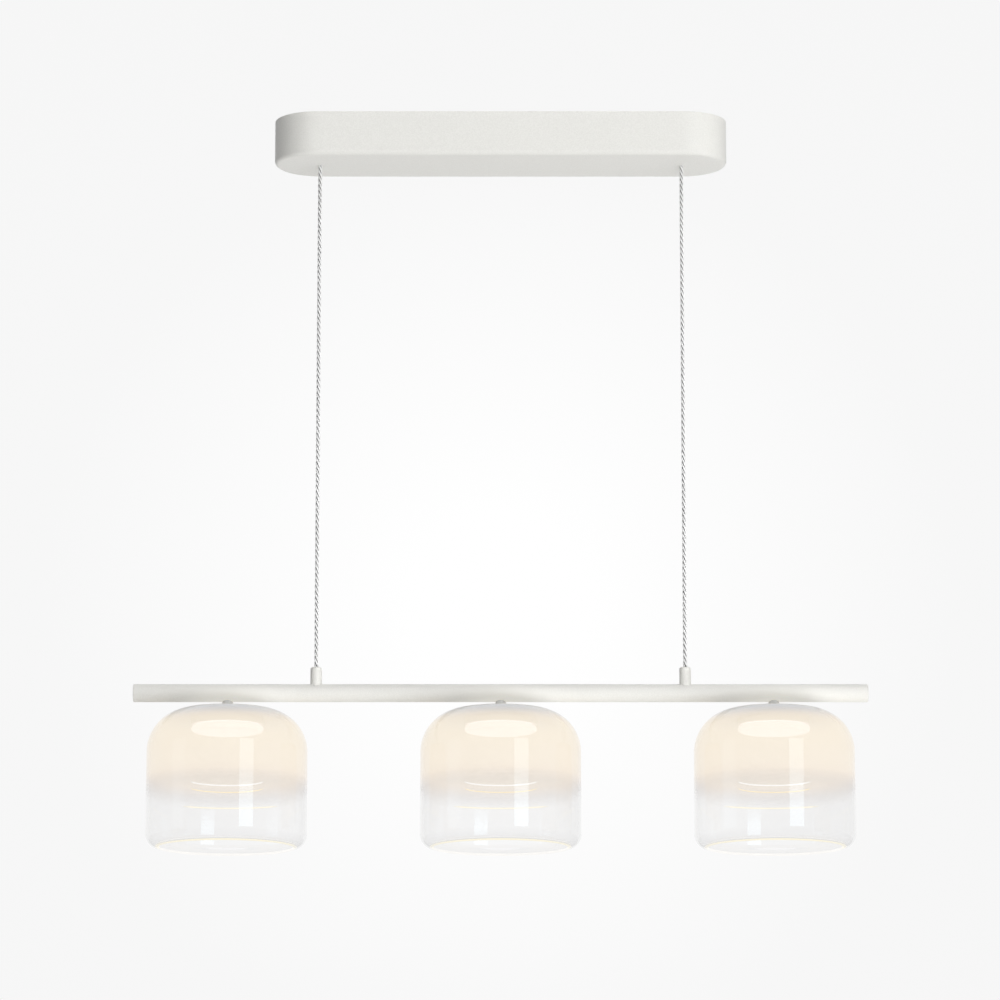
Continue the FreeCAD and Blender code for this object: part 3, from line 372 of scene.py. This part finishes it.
# %% Floor
FLOOR_Z = -2.4
FLOOR_REACH = 14.0
FLOOR_PALENESS = 0.84
FLOOR_PALE_SHARE = 0.8

bm = bmesh.new()
bmesh.ops.create_circle(bm, segments=96, radius=FLOOR_REACH, cap_ends=True)
bmesh.ops.translate(bm, verts=bm.verts, vec=(0, 0, FLOOR_Z))
floor = finished_piece(bm, "floor")
floor_paint = bpy.data.materials.new("floor_paint")
floor_paint.use_nodes = True
floor_tree = floor_paint.node_tree
floor_grain = node(
    floor_tree, "ShaderNodeTexNoise", Vector=object_place(floor_tree), Scale=3.0, Detail=3.0,
)
floor_color = ramp_of(floor_tree, floor_grain.outputs["Fac"], [(0.3, grey(0.68)), (0.7, grey(0.72))])
floor_shader = floor_tree.nodes["Principled BSDF"]
floor_tree.links.new(floor_color, floor_shader.inputs["Base Color"])
floor_shader.inputs["Roughness"].default_value = 0.9
pale = node(floor_tree, "ShaderNodeEmission", Color=(1, 1, 1, 1), Strength=FLOOR_PALENESS)
mostly = math_of(floor_tree, "MULTIPLY", seen_directly(floor_tree), FLOOR_PALE_SHARE)
floor_mix = mix_of(floor_tree, mostly, floor_shader.outputs[0], pale.outputs[0])
floor_tree.links.new(floor_mix, floor_tree.nodes["Material Output"].inputs["Surface"])
floor.data.materials.append(floor_paint)
print("floor", 2 * FLOOR_REACH, "m across at", FLOOR_Z, "m")

# %% [markdown]
# Most finishes here are one base colour with a little drift, a roughness, and a fine relief. A helper keeps
# each of them short. Its patterns read object coordinates, so they stay put on the piece.

# %% Helper for plain finishes


def finish(name, low, high, drift_scale, roughness, metallic=0.0, relief_scale=None, relief=0.0, **sockets):
    """A material whose colour drifts between two values, with an optional fine relief in metres."""
    material = bpy.data.materials.new(name)
    material.use_nodes = True
    tree = material.node_tree
    shader = tree.nodes["Principled BSDF"]
    place = object_place(tree)
    drift = node(tree, "ShaderNodeTexNoise", Vector=place, Scale=drift_scale, Detail=4.0)
    color = ramp_of(tree, drift.outputs["Fac"], [(0.35, low), (0.65, high)])
    tree.links.new(color, shader.inputs["Base Color"])
    shader.inputs["Roughness"].default_value = roughness
    shader.inputs["Metallic"].default_value = metallic
    for socket, value in sockets.items():
        shader.inputs[socket.replace("_", " ")].default_value = value
    if relief_scale:
        grain = node(tree, "ShaderNodeTexNoise", Vector=place, Scale=relief_scale, Detail=2.0)
        bump = node(tree, "ShaderNodeBump", Strength=1.0, Distance=relief, Height=grain.outputs["Fac"])
        tree.links.new(bump.outputs["Normal"], shader.inputs["Normal"])
    print("finish", name)
    return material


# %% [markdown]
# The canopy, bar and ferrules share an off-white powder coat. It feels like fine sandpaper: grains of about
# half a millimetre, with a matt surface that still catches a soft highlight along the rolled edges. Each
# bell lights the bar above it, and the bar's own copy of the coat carries this as a painted warm glow:
# emission on its underside near each bell, not light from the bell.

# %% Off-white powder coat
LAMP_SPACING = 272.0 * MM
BAR_DIAMETER = 18.0 * MM
BAR_TOP_Z = -579.0 * MM
WARM_REACH = 85.0 * MM
WARM_LIGHT = (0.34, 0.32, 0.27)

powder_coat = finish(
    "powder_coat", (0.74, 0.735, 0.70), (0.79, 0.785, 0.75), 900.0, 0.4,
    relief_scale=2400.0, relief=0.00007,
)


def painted_lamp_glow_coat():
    """The same coat on the bar, with a painted warm glow on its underside where a bell hangs close under it.
    """
    material = powder_coat.copy()
    material.name = "painted_lamp_glow_coat"
    tree = material.node_tree
    parts = object_parts(tree)
    to_lamp = math_of(tree, "PINGPONG", parts["X"], LAMP_SPACING / 2)
    near = range_of(tree, to_lamp, WARM_REACH, 0.0)
    near.node.interpolation_type = "SMOOTHSTEP"
    below = range_of(tree, parts["Z"], BAR_TOP_Z, BAR_TOP_Z - BAR_DIAMETER)
    glow = math_of(tree, "MULTIPLY", near, below)
    # Painted warm glow: emission, strongest on the bar's underside right above each lamp.
    warmth = ramp_of(tree, glow, [(0.0, grey(0.0)), (1.0, WARM_LIGHT)])
    shader = tree.nodes["Principled BSDF"]
    tree.links.new(warmth, shader.inputs["Emission Color"])
    shader.inputs["Emission Strength"].default_value = 1.0
    return material


bar_coat = painted_lamp_glow_coat()
print("finish", bar_coat.name)

# %% [markdown]
# The cord's strands are spun yarn. The furrows between the strands hold little light, so their colour is
# painted darker as shade: the distance from the cord's middle tells furrow from crown. Fine thread lines run
# across each strand.

# %% Twisted yarn
def yarn_material():
    """White yarn with painted shade in the furrows of the twist."""
    material = bpy.data.materials.new("twisted_yarn")
    material.use_nodes = True
    tree = material.node_tree
    shader = tree.nodes["Principled BSDF"]
    parts = object_parts(tree)
    across = math_of(tree, "SUBTRACT", math_of(tree, "ABSOLUTE", parts["X"]), CORD_X)
    flat = node(tree, "ShaderNodeCombineXYZ", X=across, Y=parts["Y"], Z=0.0)
    length = node(tree, "ShaderNodeVectorMath", _0=flat.outputs[0])
    length.operation = "LENGTH"
    furrow = math_of(tree, "DIVIDE", length.outputs["Value"], CORD_DIAMETER / 2)
    # Painted shade: the colour darkens towards the cord's middle, in the furrows.
    color = ramp_of(tree, furrow, [
        (0.46, grey(0.03)),
        (0.60, grey(0.14)),
        (0.70, grey(0.62)),
        (0.82, grey(0.88)),
    ])
    tree.links.new(color, shader.inputs["Base Color"])
    shader.inputs["Roughness"].default_value = 0.75
    shader.inputs["Sheen Weight"].default_value = 0.3
    thread = node(
        tree, "ShaderNodeTexWave", Vector=object_place(tree), Scale=900.0, Distortion=1.5, Detail=1.0,
    )
    thread.bands_direction = "Z"
    bump = node(tree, "ShaderNodeBump", Strength=0.6, Distance=0.00006, Height=thread.outputs["Fac"])
    tree.links.new(bump.outputs["Normal"], shader.inputs["Normal"])
    return material


yarn = yarn_material()
for cord in cords.values():
    cord.data.materials.append(yarn)
print("finish", yarn.name)

# %% [markdown]
# Glass and acrylic bend light, but the studio's light must still reach what is behind them. A shadow ray
# therefore passes straight through, which also keeps the picture free of bright specks.

# %% Clear glass helper


def clear_shader(tree, tint, ior):
    """Glass for every ray but a shadow ray, which passes straight through."""
    glass = node(tree, "ShaderNodeBsdfPrincipled", Base_Color=(*tint, 1), Roughness=0.0, IOR=ior)
    glass.inputs["Transmission Weight"].default_value = 1.0
    through = node(tree, "ShaderNodeBsdfTransparent", Color=(*tint, 1))
    path = node(tree, "ShaderNodeLightPath")
    return mix_of(tree, path.outputs["Is Shadow Ray"], glass.outputs[0], through.outputs[0])


def empty_material(name):
    """A material with an empty node tree."""
    material = bpy.data.materials.new(name)
    material.use_nodes = True
    material.node_tree.nodes.clear()
    return material, material.node_tree


# %% [markdown]
# The bell's outside is plain polished glass. Its opal lining is a thin coat on the inside: dense from the
# crown down to the middle of the wall, then thinning to nothing. The light disc sits below the crown, and the
# lining's light is a painted glow, emission and not light from the disc: grey above the disc, warm white
# below it. Height sets all of this, so the painted glow and the density are ramps over height. A fine pale
# line of painted light on the back wall is the one thing that depth also sets, and the rim carries painted
# light where light that has run down inside the glass comes out.

# %% Bell glass and opal lining
BELL_TOP_Z = -601.0 * MM
BELL_RIM_Z = -743.0 * MM
MOUTH_RADIUS = 68.0 * MM
BACK_WALL_Y = (60.0 * MM, 66.0 * MM)
GLASS_TINT = (0.972, 0.971, 0.97)
GLASS_IOR = 1.5


def share(z_mm):
    """Where a height in millimetres lies between the bell's top and rim, from 0 to 1."""
    return (z_mm * MM - BELL_TOP_Z) / (BELL_RIM_Z - BELL_TOP_Z)


def bell_glass_material():
    """Polished glass."""
    material, tree = empty_material("bell_glass")
    node(tree, "ShaderNodeOutputMaterial", Surface=clear_shader(tree, GLASS_TINT, GLASS_IOR))
    return material


def opal_lining_material():
    """The coat inside the bell: opal with a painted glow above, clear glass below."""
    material, tree = empty_material("opal_lining")
    parts = object_parts(tree)
    height = range_of(tree, parts["Z"], BELL_TOP_Z, BELL_RIM_Z)
    # Painted glow by height: grey above the disc, warm white below it, dimmer towards the mouth.
    glow = ramp_of(tree, height, [
        (0.0, (0.46, 0.46, 0.47)),
        (share(-610), (0.52, 0.52, 0.53)),
        (share(-616), (0.76, 0.69, 0.61)),
        (share(-621), (0.88, 0.78, 0.64)),
        (share(-630), (0.90, 0.81, 0.67)),
        (share(-650), (0.90, 0.81, 0.68)),
        (share(-667), (0.89, 0.80, 0.68)),
        (share(-674), (0.84, 0.75, 0.65)),
        (share(-682), (0.69, 0.63, 0.58)),
        (share(-690), (0.58, 0.54, 0.52)),
    ], "CARDINAL")
    density = ramp_of(tree, height, [(share(-670), grey(0.82)), (share(-698), grey(0.0))], "EASE")
    coat = node(tree, "ShaderNodeBsdfDiffuse", Color=(0.055, 0.055, 0.054, 1))
    light = node(tree, "ShaderNodeEmission", Color=glow, Strength=1.0)
    opal = node(tree, "ShaderNodeAddShader", _0=coat.outputs[0], _1=light.outputs[0])
    coated = mix_of(tree, density, clear_shader(tree, GLASS_TINT, GLASS_IOR), opal.outputs[0])
    # A thin band of painted light on the back wall, set by height and by depth.
    line = ramp_of(tree, height, [
        (share(-693.0), grey(0.0)),
        (share(-693.5), grey(1.0)),
        (share(-694.2), grey(1.0)),
        (share(-694.7), grey(0.0)),
    ])
    painted_back_line = math_of(tree, "MULTIPLY", line, range_of(tree, parts["Y"], *BACK_WALL_Y))
    line_light = node(tree, "ShaderNodeEmission", Color=(1.0, 0.93, 0.74, 1), Strength=1.08)
    lined = mix_of(tree, painted_back_line, coated, line_light.outputs[0])
    node(tree, "ShaderNodeOutputMaterial", Surface=lined)
    return material


def lit_rim_material():
    """Painted light on the rim, for light that has run down inside the glass: warm in front, paler behind."""
    material, tree = empty_material("painted_rim_light")
    front_to_back = range_of(tree, object_parts(tree)["Y"], -MOUTH_RADIUS, MOUTH_RADIUS)
    warm = ramp_of(tree, front_to_back, [
        (0.0, (1.0, 0.93, 0.72)),
        (0.35, (1.0, 0.93, 0.74)),
        (0.6, (0.95, 0.94, 0.92)),
    ])
    light = node(tree, "ShaderNodeEmission", Color=warm, Strength=1.05)
    mostly_lit = mix_of(tree, 0.9, clear_shader(tree, GLASS_TINT, GLASS_IOR), light.outputs[0])
    node(tree, "ShaderNodeOutputMaterial", Surface=mostly_lit)
    return material


bell_glass = bell_glass_material()
opal_lining = opal_lining_material()
painted_rim_light = lit_rim_material()
print("finishes", bell_glass.name, opal_lining.name, painted_rim_light.name)

# %% [markdown]
# A glass blower shapes the bell by turning it, so a spin is the natural way to model it. The outline is
# drawn once, out of arcs, in distance from the axis and height: crown, shoulder, wall and curled lip on
# the outside, a rolled rim, and the same on the inside one wall thickness in.

# %% Outlines out of arcs
BELL_RADIUS = 80.0 * MM
BELL_WALL = 2.5 * MM
CROWN_RADIUS = 250.0 * MM
SHOULDER_RADIUS = 43.0 * MM
LIP_RADIUS = 13.0 * MM
BELL_HOLE_RADIUS = 4.5 * MM
CROWN_STEPS = 12
SHOULDER_STEPS = 44
LIP_STEPS = 24
RIM_STEPS = 8


def arc(centre, radius, start, end, steps):
    """Points from one angle to another, in radians above the outward direction."""
    return [
        (
            centre[0] + radius * math.cos(start + (end - start) * n / steps),
            centre[1] + radius * math.sin(start + (end - start) * n / steps),
        )
        for n in range(steps + 1)
    ]


def bell_skin(inset):
    """One skin of the bell from its hole down to its rim."""
    crown = CROWN_RADIUS - inset
    shoulder = SHOULDER_RADIUS - inset
    crown_centre = (0.0, BELL_TOP_Z - CROWN_RADIUS)
    shoulder_out = BELL_RADIUS - SHOULDER_RADIUS
    shoulder_rise = math.sqrt((crown - shoulder) ** 2 - shoulder_out ** 2)
    shoulder_centre = (shoulder_out, crown_centre[1] + shoulder_rise)
    lip_centre_r = BELL_RADIUS - LIP_RADIUS
    lip_turn = math.acos((MOUTH_RADIUS - lip_centre_r) / LIP_RADIUS)
    lip_centre = (lip_centre_r, BELL_RIM_Z + LIP_RADIUS * math.sin(lip_turn))
    meet = math.atan2(shoulder_rise, shoulder_out)
    hole = math.acos(BELL_HOLE_RADIUS / crown)
    points = arc(crown_centre, crown, hole, meet, CROWN_STEPS)
    points += arc(shoulder_centre, shoulder, meet, 0, SHOULDER_STEPS)[1:]
    points += arc(lip_centre, LIP_RADIUS - inset, 0, -lip_turn, LIP_STEPS)
    return points


def rolled_rim(outer_end, inner_end, steps):
    """Points of the half round that joins the two skins at the mouth."""
    middle = (Vector(outer_end) + Vector(inner_end)) / 2
    start = Vector(outer_end) - middle
    return [tuple(middle + Matrix.Rotation(-math.pi * n / steps, 2) @ start) for n in range(1, steps)]


outer_skin = bell_skin(0.0)
inner_skin = bell_skin(BELL_WALL)
bell_outline = outer_skin + rolled_rim(outer_skin[-1], inner_skin[-1], RIM_STEPS) + inner_skin[::-1]
print("bell outline", len(bell_outline), "points")

# %% [markdown]
# The spin takes the outline as a closed loop of edges around the lamp's own axis. Points on the axis, if
# there are any, fall together at the poles and are merged there.

# %% Spin the bells
LAMP_PLACES = {1: -LAMP_SPACING, 2: 0.0, 3: LAMP_SPACING}
SPIN_STEPS = 192
LIT_LIP = 1.6 * MM
MOUTH_ZONE = 60.0 * MM
LONG_STRETCH = 2.0 * MM
STRETCH_GUARD = 0.15 * MM
MERGE_DISTANCE = 0.001 * MM


def steadied(outline):
    """Add points near both ends of long straight stretches, so that they stay flat under smooth shading."""
    points = []
    for start, end in zip(outline, outline[1:] + outline[:1]):
        points.append(start)
        run = Vector(end) - Vector(start)
        if run.length > LONG_STRETCH:
            step = run.normalized() * STRETCH_GUARD
            points.append(tuple(Vector(start) + step))
            points.append(tuple(Vector(end) - step))
    return points


def spun_piece(name, outline, x, steps=SPIN_STEPS):
    """A closed outline of (distance, height) points turned about the upright line through x."""
    bm = bmesh.new()
    points = steadied(outline)
    ring = [bm.verts.new((x + distance, 0, height)) for distance, height in points]
    pairs = zip(ring, ring[1:] + ring[:1], points, points[1:] + points[:1])
    edges = [bm.edges.new((a, b)) for a, b, start, end in pairs if start[0] > 0 or end[0] > 0]
    bmesh.ops.spin(
        bm, geom=ring + edges, cent=(x, 0, 0), axis=(0, 0, 1), angle=2 * math.pi,
        steps=steps, use_merge=True, use_duplicate=False,
    )
    bmesh.ops.remove_doubles(bm, verts=bm.verts, dist=MERGE_DISTANCE)
    bmesh.ops.recalc_face_normals(bm, faces=bm.faces)
    return finished_piece(bm, name)


def line_inside(piece, x):
    """Give the faces that look into the bell the second material, and the rolled rim the third."""
    heart = Vector((x, 0, (BELL_TOP_Z + BELL_RIM_Z) / 2))
    for face in piece.data.polygons:
        away = face.center - heart
        outward = face.normal.dot(away) > 0
        reach = away.xy.length - MOUTH_RADIUS
        if away.z < -MOUTH_ZONE and (reach < 0 or reach < LIT_LIP and not outward):
            face.material_index = 2
        else:
            face.material_index = int(not outward)


for number, x in LAMP_PLACES.items():
    bell = spun_piece(f"glass_bell_{number}", bell_outline, x)
    bell.data.materials.append(bell_glass)
    bell.data.materials.append(opal_lining)
    bell.data.materials.append(painted_rim_light)
    line_inside(bell, x)
    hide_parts(f"glass_shade_{number}", f"glass_lip_{number}")
    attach(bell, "light_bar")

# %% [markdown]
# Under each crown an opal acrylic disc hides the light chips and glows evenly. Its edge is rounded, so it
# reads as one soft ellipse of light. Its outline is short enough to write down point by point, with a
# quarter oval above and below.

# %% Glowing discs
SKIRT_BOTTOM_Z = -619.8 * MM
DISC_RADIUS = 36.0 * MM
DISC_COLLAR_RADIUS = 31.0 * MM
DISC_COLLAR_TOP_Z = -614.8 * MM
DISC_INSIDE_RADIUS = 29.4 * MM
CUP_TOP_Z = -624.2 * MM
DISC_BOTTOM_Z = -627.7 * MM
DISC_FLOOR = 1.6 * MM
DISC_UPPER_EDGE = (5.0 * MM, 4.0 * MM)
DISC_LOWER_EDGE = (7.0 * MM, 3.9 * MM)
DISC_EDGE_STEPS = 10
SMALL_SPIN_STEPS = 96


def disc_material():
    """Opal acrylic lit from inside, its glow drifting a little in tone."""
    material = bpy.data.materials.new("glowing_opal")
    material.use_nodes = True
    tree = material.node_tree
    shader = tree.nodes["Principled BSDF"]
    shader.inputs["Base Color"].default_value = (0.8, 0.8, 0.78, 1)
    shader.inputs["Roughness"].default_value = 0.35
    cloud = node(tree, "ShaderNodeTexNoise", Vector=object_place(tree), Scale=60.0, Detail=2.0)
    glow = ramp_of(tree, cloud.outputs["Fac"], [(0.3, (0.93, 0.87, 1.0)), (0.7, (0.96, 0.90, 1.0))])
    tree.links.new(glow, shader.inputs["Emission Color"])
    shader.inputs["Emission Strength"].default_value = 0.9
    return material


def oval_edge(across, along, level, up):
    """A quarter of an oval that starts at the disc's full radius on a level and turns up or down inwards."""
    turns = [math.pi / 2 * n / DISC_EDGE_STEPS for n in range(DISC_EDGE_STEPS + 1)]
    return [
        (DISC_RADIUS - across * (1 - math.cos(turn)), level + up * along * math.sin(turn))
        for turn in turns
    ]


disc_outline = [
    (DISC_INSIDE_RADIUS, DISC_COLLAR_TOP_Z),
    (DISC_COLLAR_RADIUS, DISC_COLLAR_TOP_Z),
    *oval_edge(*DISC_UPPER_EDGE, SKIRT_BOTTOM_Z - DISC_UPPER_EDGE[1], 1)[::-1],
    *oval_edge(*DISC_LOWER_EDGE, DISC_BOTTOM_Z + DISC_LOWER_EDGE[1], -1),
    (0.0, DISC_BOTTOM_Z),
    (0.0, DISC_BOTTOM_Z + DISC_FLOOR),
    (DISC_INSIDE_RADIUS, DISC_BOTTOM_Z + DISC_FLOOR),
]
glowing_opal = disc_material()
for number, x in LAMP_PLACES.items():
    disc = spun_piece(f"glowing_disc_{number}", disc_outline, x, SMALL_SPIN_STEPS)
    disc.data.materials.append(glowing_opal)
    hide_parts(f"diffuser_{number}")
    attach(disc, "light_bar")

# %% [markdown]
# Below each disc hangs a clear cup with a thick floor. It is hardly seen: only its floor and its bottom edge
# catch the light, and show as fine arcs through the glass. So the cup bends no light, and narrow bands of
# faces take a finish of painted light instead. The bands are picked by height and by which way their
# faces point.

# %% Clear cups
CUP_RADIUS = 36.4 * MM
CUP_INSIDE_RADIUS = 34.1 * MM
CUP_BOTTOM_Z = -683.4 * MM
CUP_FLOOR_Z = -676.0 * MM
CUP_EDGE = 0.8 * MM
CUP_RIM_EDGE = 0.4 * MM
CUP_LINE = 1.3 * MM
CUP_TINT = (0.995, 0.995, 0.993, 1)
CUP_SHINE = 0.02
LARGEST_LINE_FACE = 5.0e-6


def cup_material():
    """Clear polished acrylic, so thin in the wall that it bends nothing."""
    material, tree = empty_material("clear_acrylic")
    through = node(tree, "ShaderNodeBsdfTransparent", Color=CUP_TINT)
    shine = node(tree, "ShaderNodeBsdfGlossy", Color=(1, 1, 1, 1), Roughness=0.0)
    mix = mix_of(tree, CUP_SHINE, through.outputs[0], shine.outputs[0])
    node(tree, "ShaderNodeOutputMaterial", Surface=mix)
    return material


def cup_edge_material():
    """Painted light on the cup's edges: white at its floor, yellow at its bottom, and seen on the far side
    only.
    """
    material, tree = empty_material("painted_cup_edge_light")
    parts = object_parts(tree)
    low = math_of(tree, "LESS_THAN", parts["Z"], (CUP_FLOOR_Z + CUP_BOTTOM_Z) / 2)
    tone = ramp_of(tree, low, [(0.4, (1.0, 0.98, 0.95)), (0.6, (1.0, 0.84, 0.50))])
    light = node(tree, "ShaderNodeEmission", Color=tone, Strength=1.15)
    through = node(tree, "ShaderNodeBsdfTransparent", Color=CUP_TINT)
    far = range_of(tree, parts["Y"], 0.0, CUP_RADIUS * 0.35)
    mix = mix_of(tree, far, through.outputs[0], light.outputs[0])
    node(tree, "ShaderNodeOutputMaterial", Surface=mix)
    return material


def light_edges(piece):
    """Give the second material to the bottom edge and to the line of the floor on the outside."""
    for face in piece.data.polygons:
        z = face.center.z
        upright = abs(face.normal.z) < 0.05
        at_floor = upright and abs(z - CUP_FLOOR_Z) < CUP_LINE / 2 and face.area < LARGEST_LINE_FACE
        at_bottom = z < CUP_BOTTOM_Z + CUP_EDGE and 0.01 < abs(face.normal.z) < 0.99
        face.material_index = int(at_floor or at_bottom)


rim_round_z = CUP_TOP_Z - CUP_RIM_EDGE
cup_outline = [
    *arc((CUP_RADIUS - CUP_EDGE, CUP_BOTTOM_Z + CUP_EDGE), CUP_EDGE, -math.pi / 2, 0, 6),
    (CUP_RADIUS, CUP_FLOOR_Z - CUP_LINE / 2),
    (CUP_RADIUS, CUP_FLOOR_Z + CUP_LINE / 2),
    *arc((CUP_RADIUS - CUP_RIM_EDGE, rim_round_z), CUP_RIM_EDGE, 0, math.pi / 2, 4),
    *arc((CUP_INSIDE_RADIUS + CUP_RIM_EDGE, rim_round_z), CUP_RIM_EDGE, math.pi / 2, math.pi, 4),
    *arc((CUP_INSIDE_RADIUS - CUP_EDGE, CUP_FLOOR_Z + CUP_EDGE), CUP_EDGE, 0, -math.pi / 2, 6),
    (0.0, CUP_FLOOR_Z),
    (0.0, CUP_BOTTOM_Z),
]
clear_acrylic = cup_material()
painted_cup_edge_light = cup_edge_material()
for number, x in LAMP_PLACES.items():
    cup = spun_piece(f"clear_cup_{number}", cup_outline, x, SMALL_SPIN_STEPS)
    cup.data.materials.append(clear_acrylic)
    cup.data.materials.append(painted_cup_edge_light)
    light_edges(cup)
    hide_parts(f"inner_cup_{number}")
    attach(cup, "light_bar")

# %% [markdown]
# What is left of the frame keeps its own shape and only needs its surface. Zinc-plated steel, turned brass,
# nylon and silicone are mostly hidden in the canopy and under the crowns, yet they show from above.

# %% Hidden and small finishes
zinc_steel = finish(
    "zinc_steel", (0.50, 0.51, 0.52), (0.62, 0.63, 0.64), 220.0, 0.34, 1.0, 900.0, 0.00003,
)
ball_steel = finish(
    "ball_steel", (0.60, 0.60, 0.61), (0.66, 0.66, 0.67), 300.0, 0.15, 1.0, 1500.0, 0.00001,
)
screw_brass = finish(
    "screw_brass", (0.66, 0.50, 0.24), (0.76, 0.60, 0.32), 500.0, 0.3, 1.0, 1200.0, 0.00002,
)
canopy_nylon = finish(
    "canopy_nylon", (0.74, 0.735, 0.70), (0.77, 0.765, 0.73), 300.0, 0.55, 0.0, 900.0, 0.00002,
)
grip_nylon = finish(
    "grip_nylon", (0.66, 0.66, 0.64), (0.72, 0.72, 0.70), 250.0, 0.5, 0.0, 800.0, 0.00003,
)
driver_shell = finish(
    "driver_shell", (0.80, 0.80, 0.79), (0.85, 0.85, 0.84), 60.0, 0.45, 0.0, 1100.0, 0.00004,
)
terminal_nylon = finish(
    "terminal_nylon", (0.80, 0.78, 0.72), (0.86, 0.84, 0.79), 120.0, 0.5, 0.0, 900.0, 0.00003,
)
lead_sleeve = finish(
    "lead_sleeve", (0.78, 0.78, 0.77), (0.84, 0.84, 0.83), 400.0, 0.4, 0.0, 700.0, 0.00003,
)
wire_sleeve = finish(
    "wire_sleeve", (0.66, 0.64, 0.60), (0.78, 0.77, 0.74), 400.0, 0.35, 0.0, 700.0, 0.00002,
)
silicone = finish(
    "silicone", (0.62, 0.61, 0.58), (0.70, 0.69, 0.66), 300.0, 0.5, 0.0, 600.0, 0.00003,
)
anodised = finish(
    "anodised", (0.74, 0.74, 0.73), (0.80, 0.80, 0.79), 200.0, 0.42, 0.6, 1500.0, 0.00002,
)

# %% [markdown]
# The light board is white on top, and its chips are yellow squares underneath. The chips hang below the
# board's lower face, so height again tells them apart.

# %% Light board
CHIPS_BELOW_Z = -614.75 * MM


def board_material():
    """White board with yellow chips below it."""
    material = bpy.data.materials.new("light_board")
    material.use_nodes = True
    tree = material.node_tree
    shader = tree.nodes["Principled BSDF"]
    below = math_of(tree, "LESS_THAN", object_parts(tree)["Z"], CHIPS_BELOW_Z)
    color = ramp_of(tree, below, [(0.4, (0.86, 0.86, 0.83)), (0.6, (0.85, 0.62, 0.12))])
    tree.links.new(color, shader.inputs["Base Color"])
    shader.inputs["Roughness"].default_value = 0.4
    return material


light_board = board_material()
print("finish", light_board.name)

# %% [markdown]
# Every node of the frame names its material slot in the record, so a table from slot to finish dresses them
# all. The bar's tube alone takes the coat with the painted warm glow.

# %% Dress the frame
FINISHES = {
    "canopy_paint": powder_coat,
    "bar_paint": powder_coat,
    "zinc_steel": zinc_steel,
    "bushing_plastic": canopy_nylon,
    "grip_plastic": grip_nylon,
    "driver_plastic": driver_shell,
    "terminal_plastic": terminal_nylon,
    "screw_brass": screw_brass,
    "lead_insulation": lead_sleeve,
    "wire_insulation": wire_sleeve,
    "cord_braid": yarn,
    "ball_steel": ball_steel,
    "silicone": silicone,
    "blown_glass": bell_glass,
    "housing_aluminium": anodised,
    "board_white": light_board,
    "opal_acrylic": glowing_opal,
    "clear_acrylic": clear_acrylic,
}
subparts = frame["record"]["subparts"]
for part in subparts:
    surface = nodes[part["node"]].data.materials
    surface.clear()
    surface.append(bar_coat if part["node"] == "bar_tube" else FINISHES[part["material_slot"]])
print("dressed", len(subparts), "nodes")
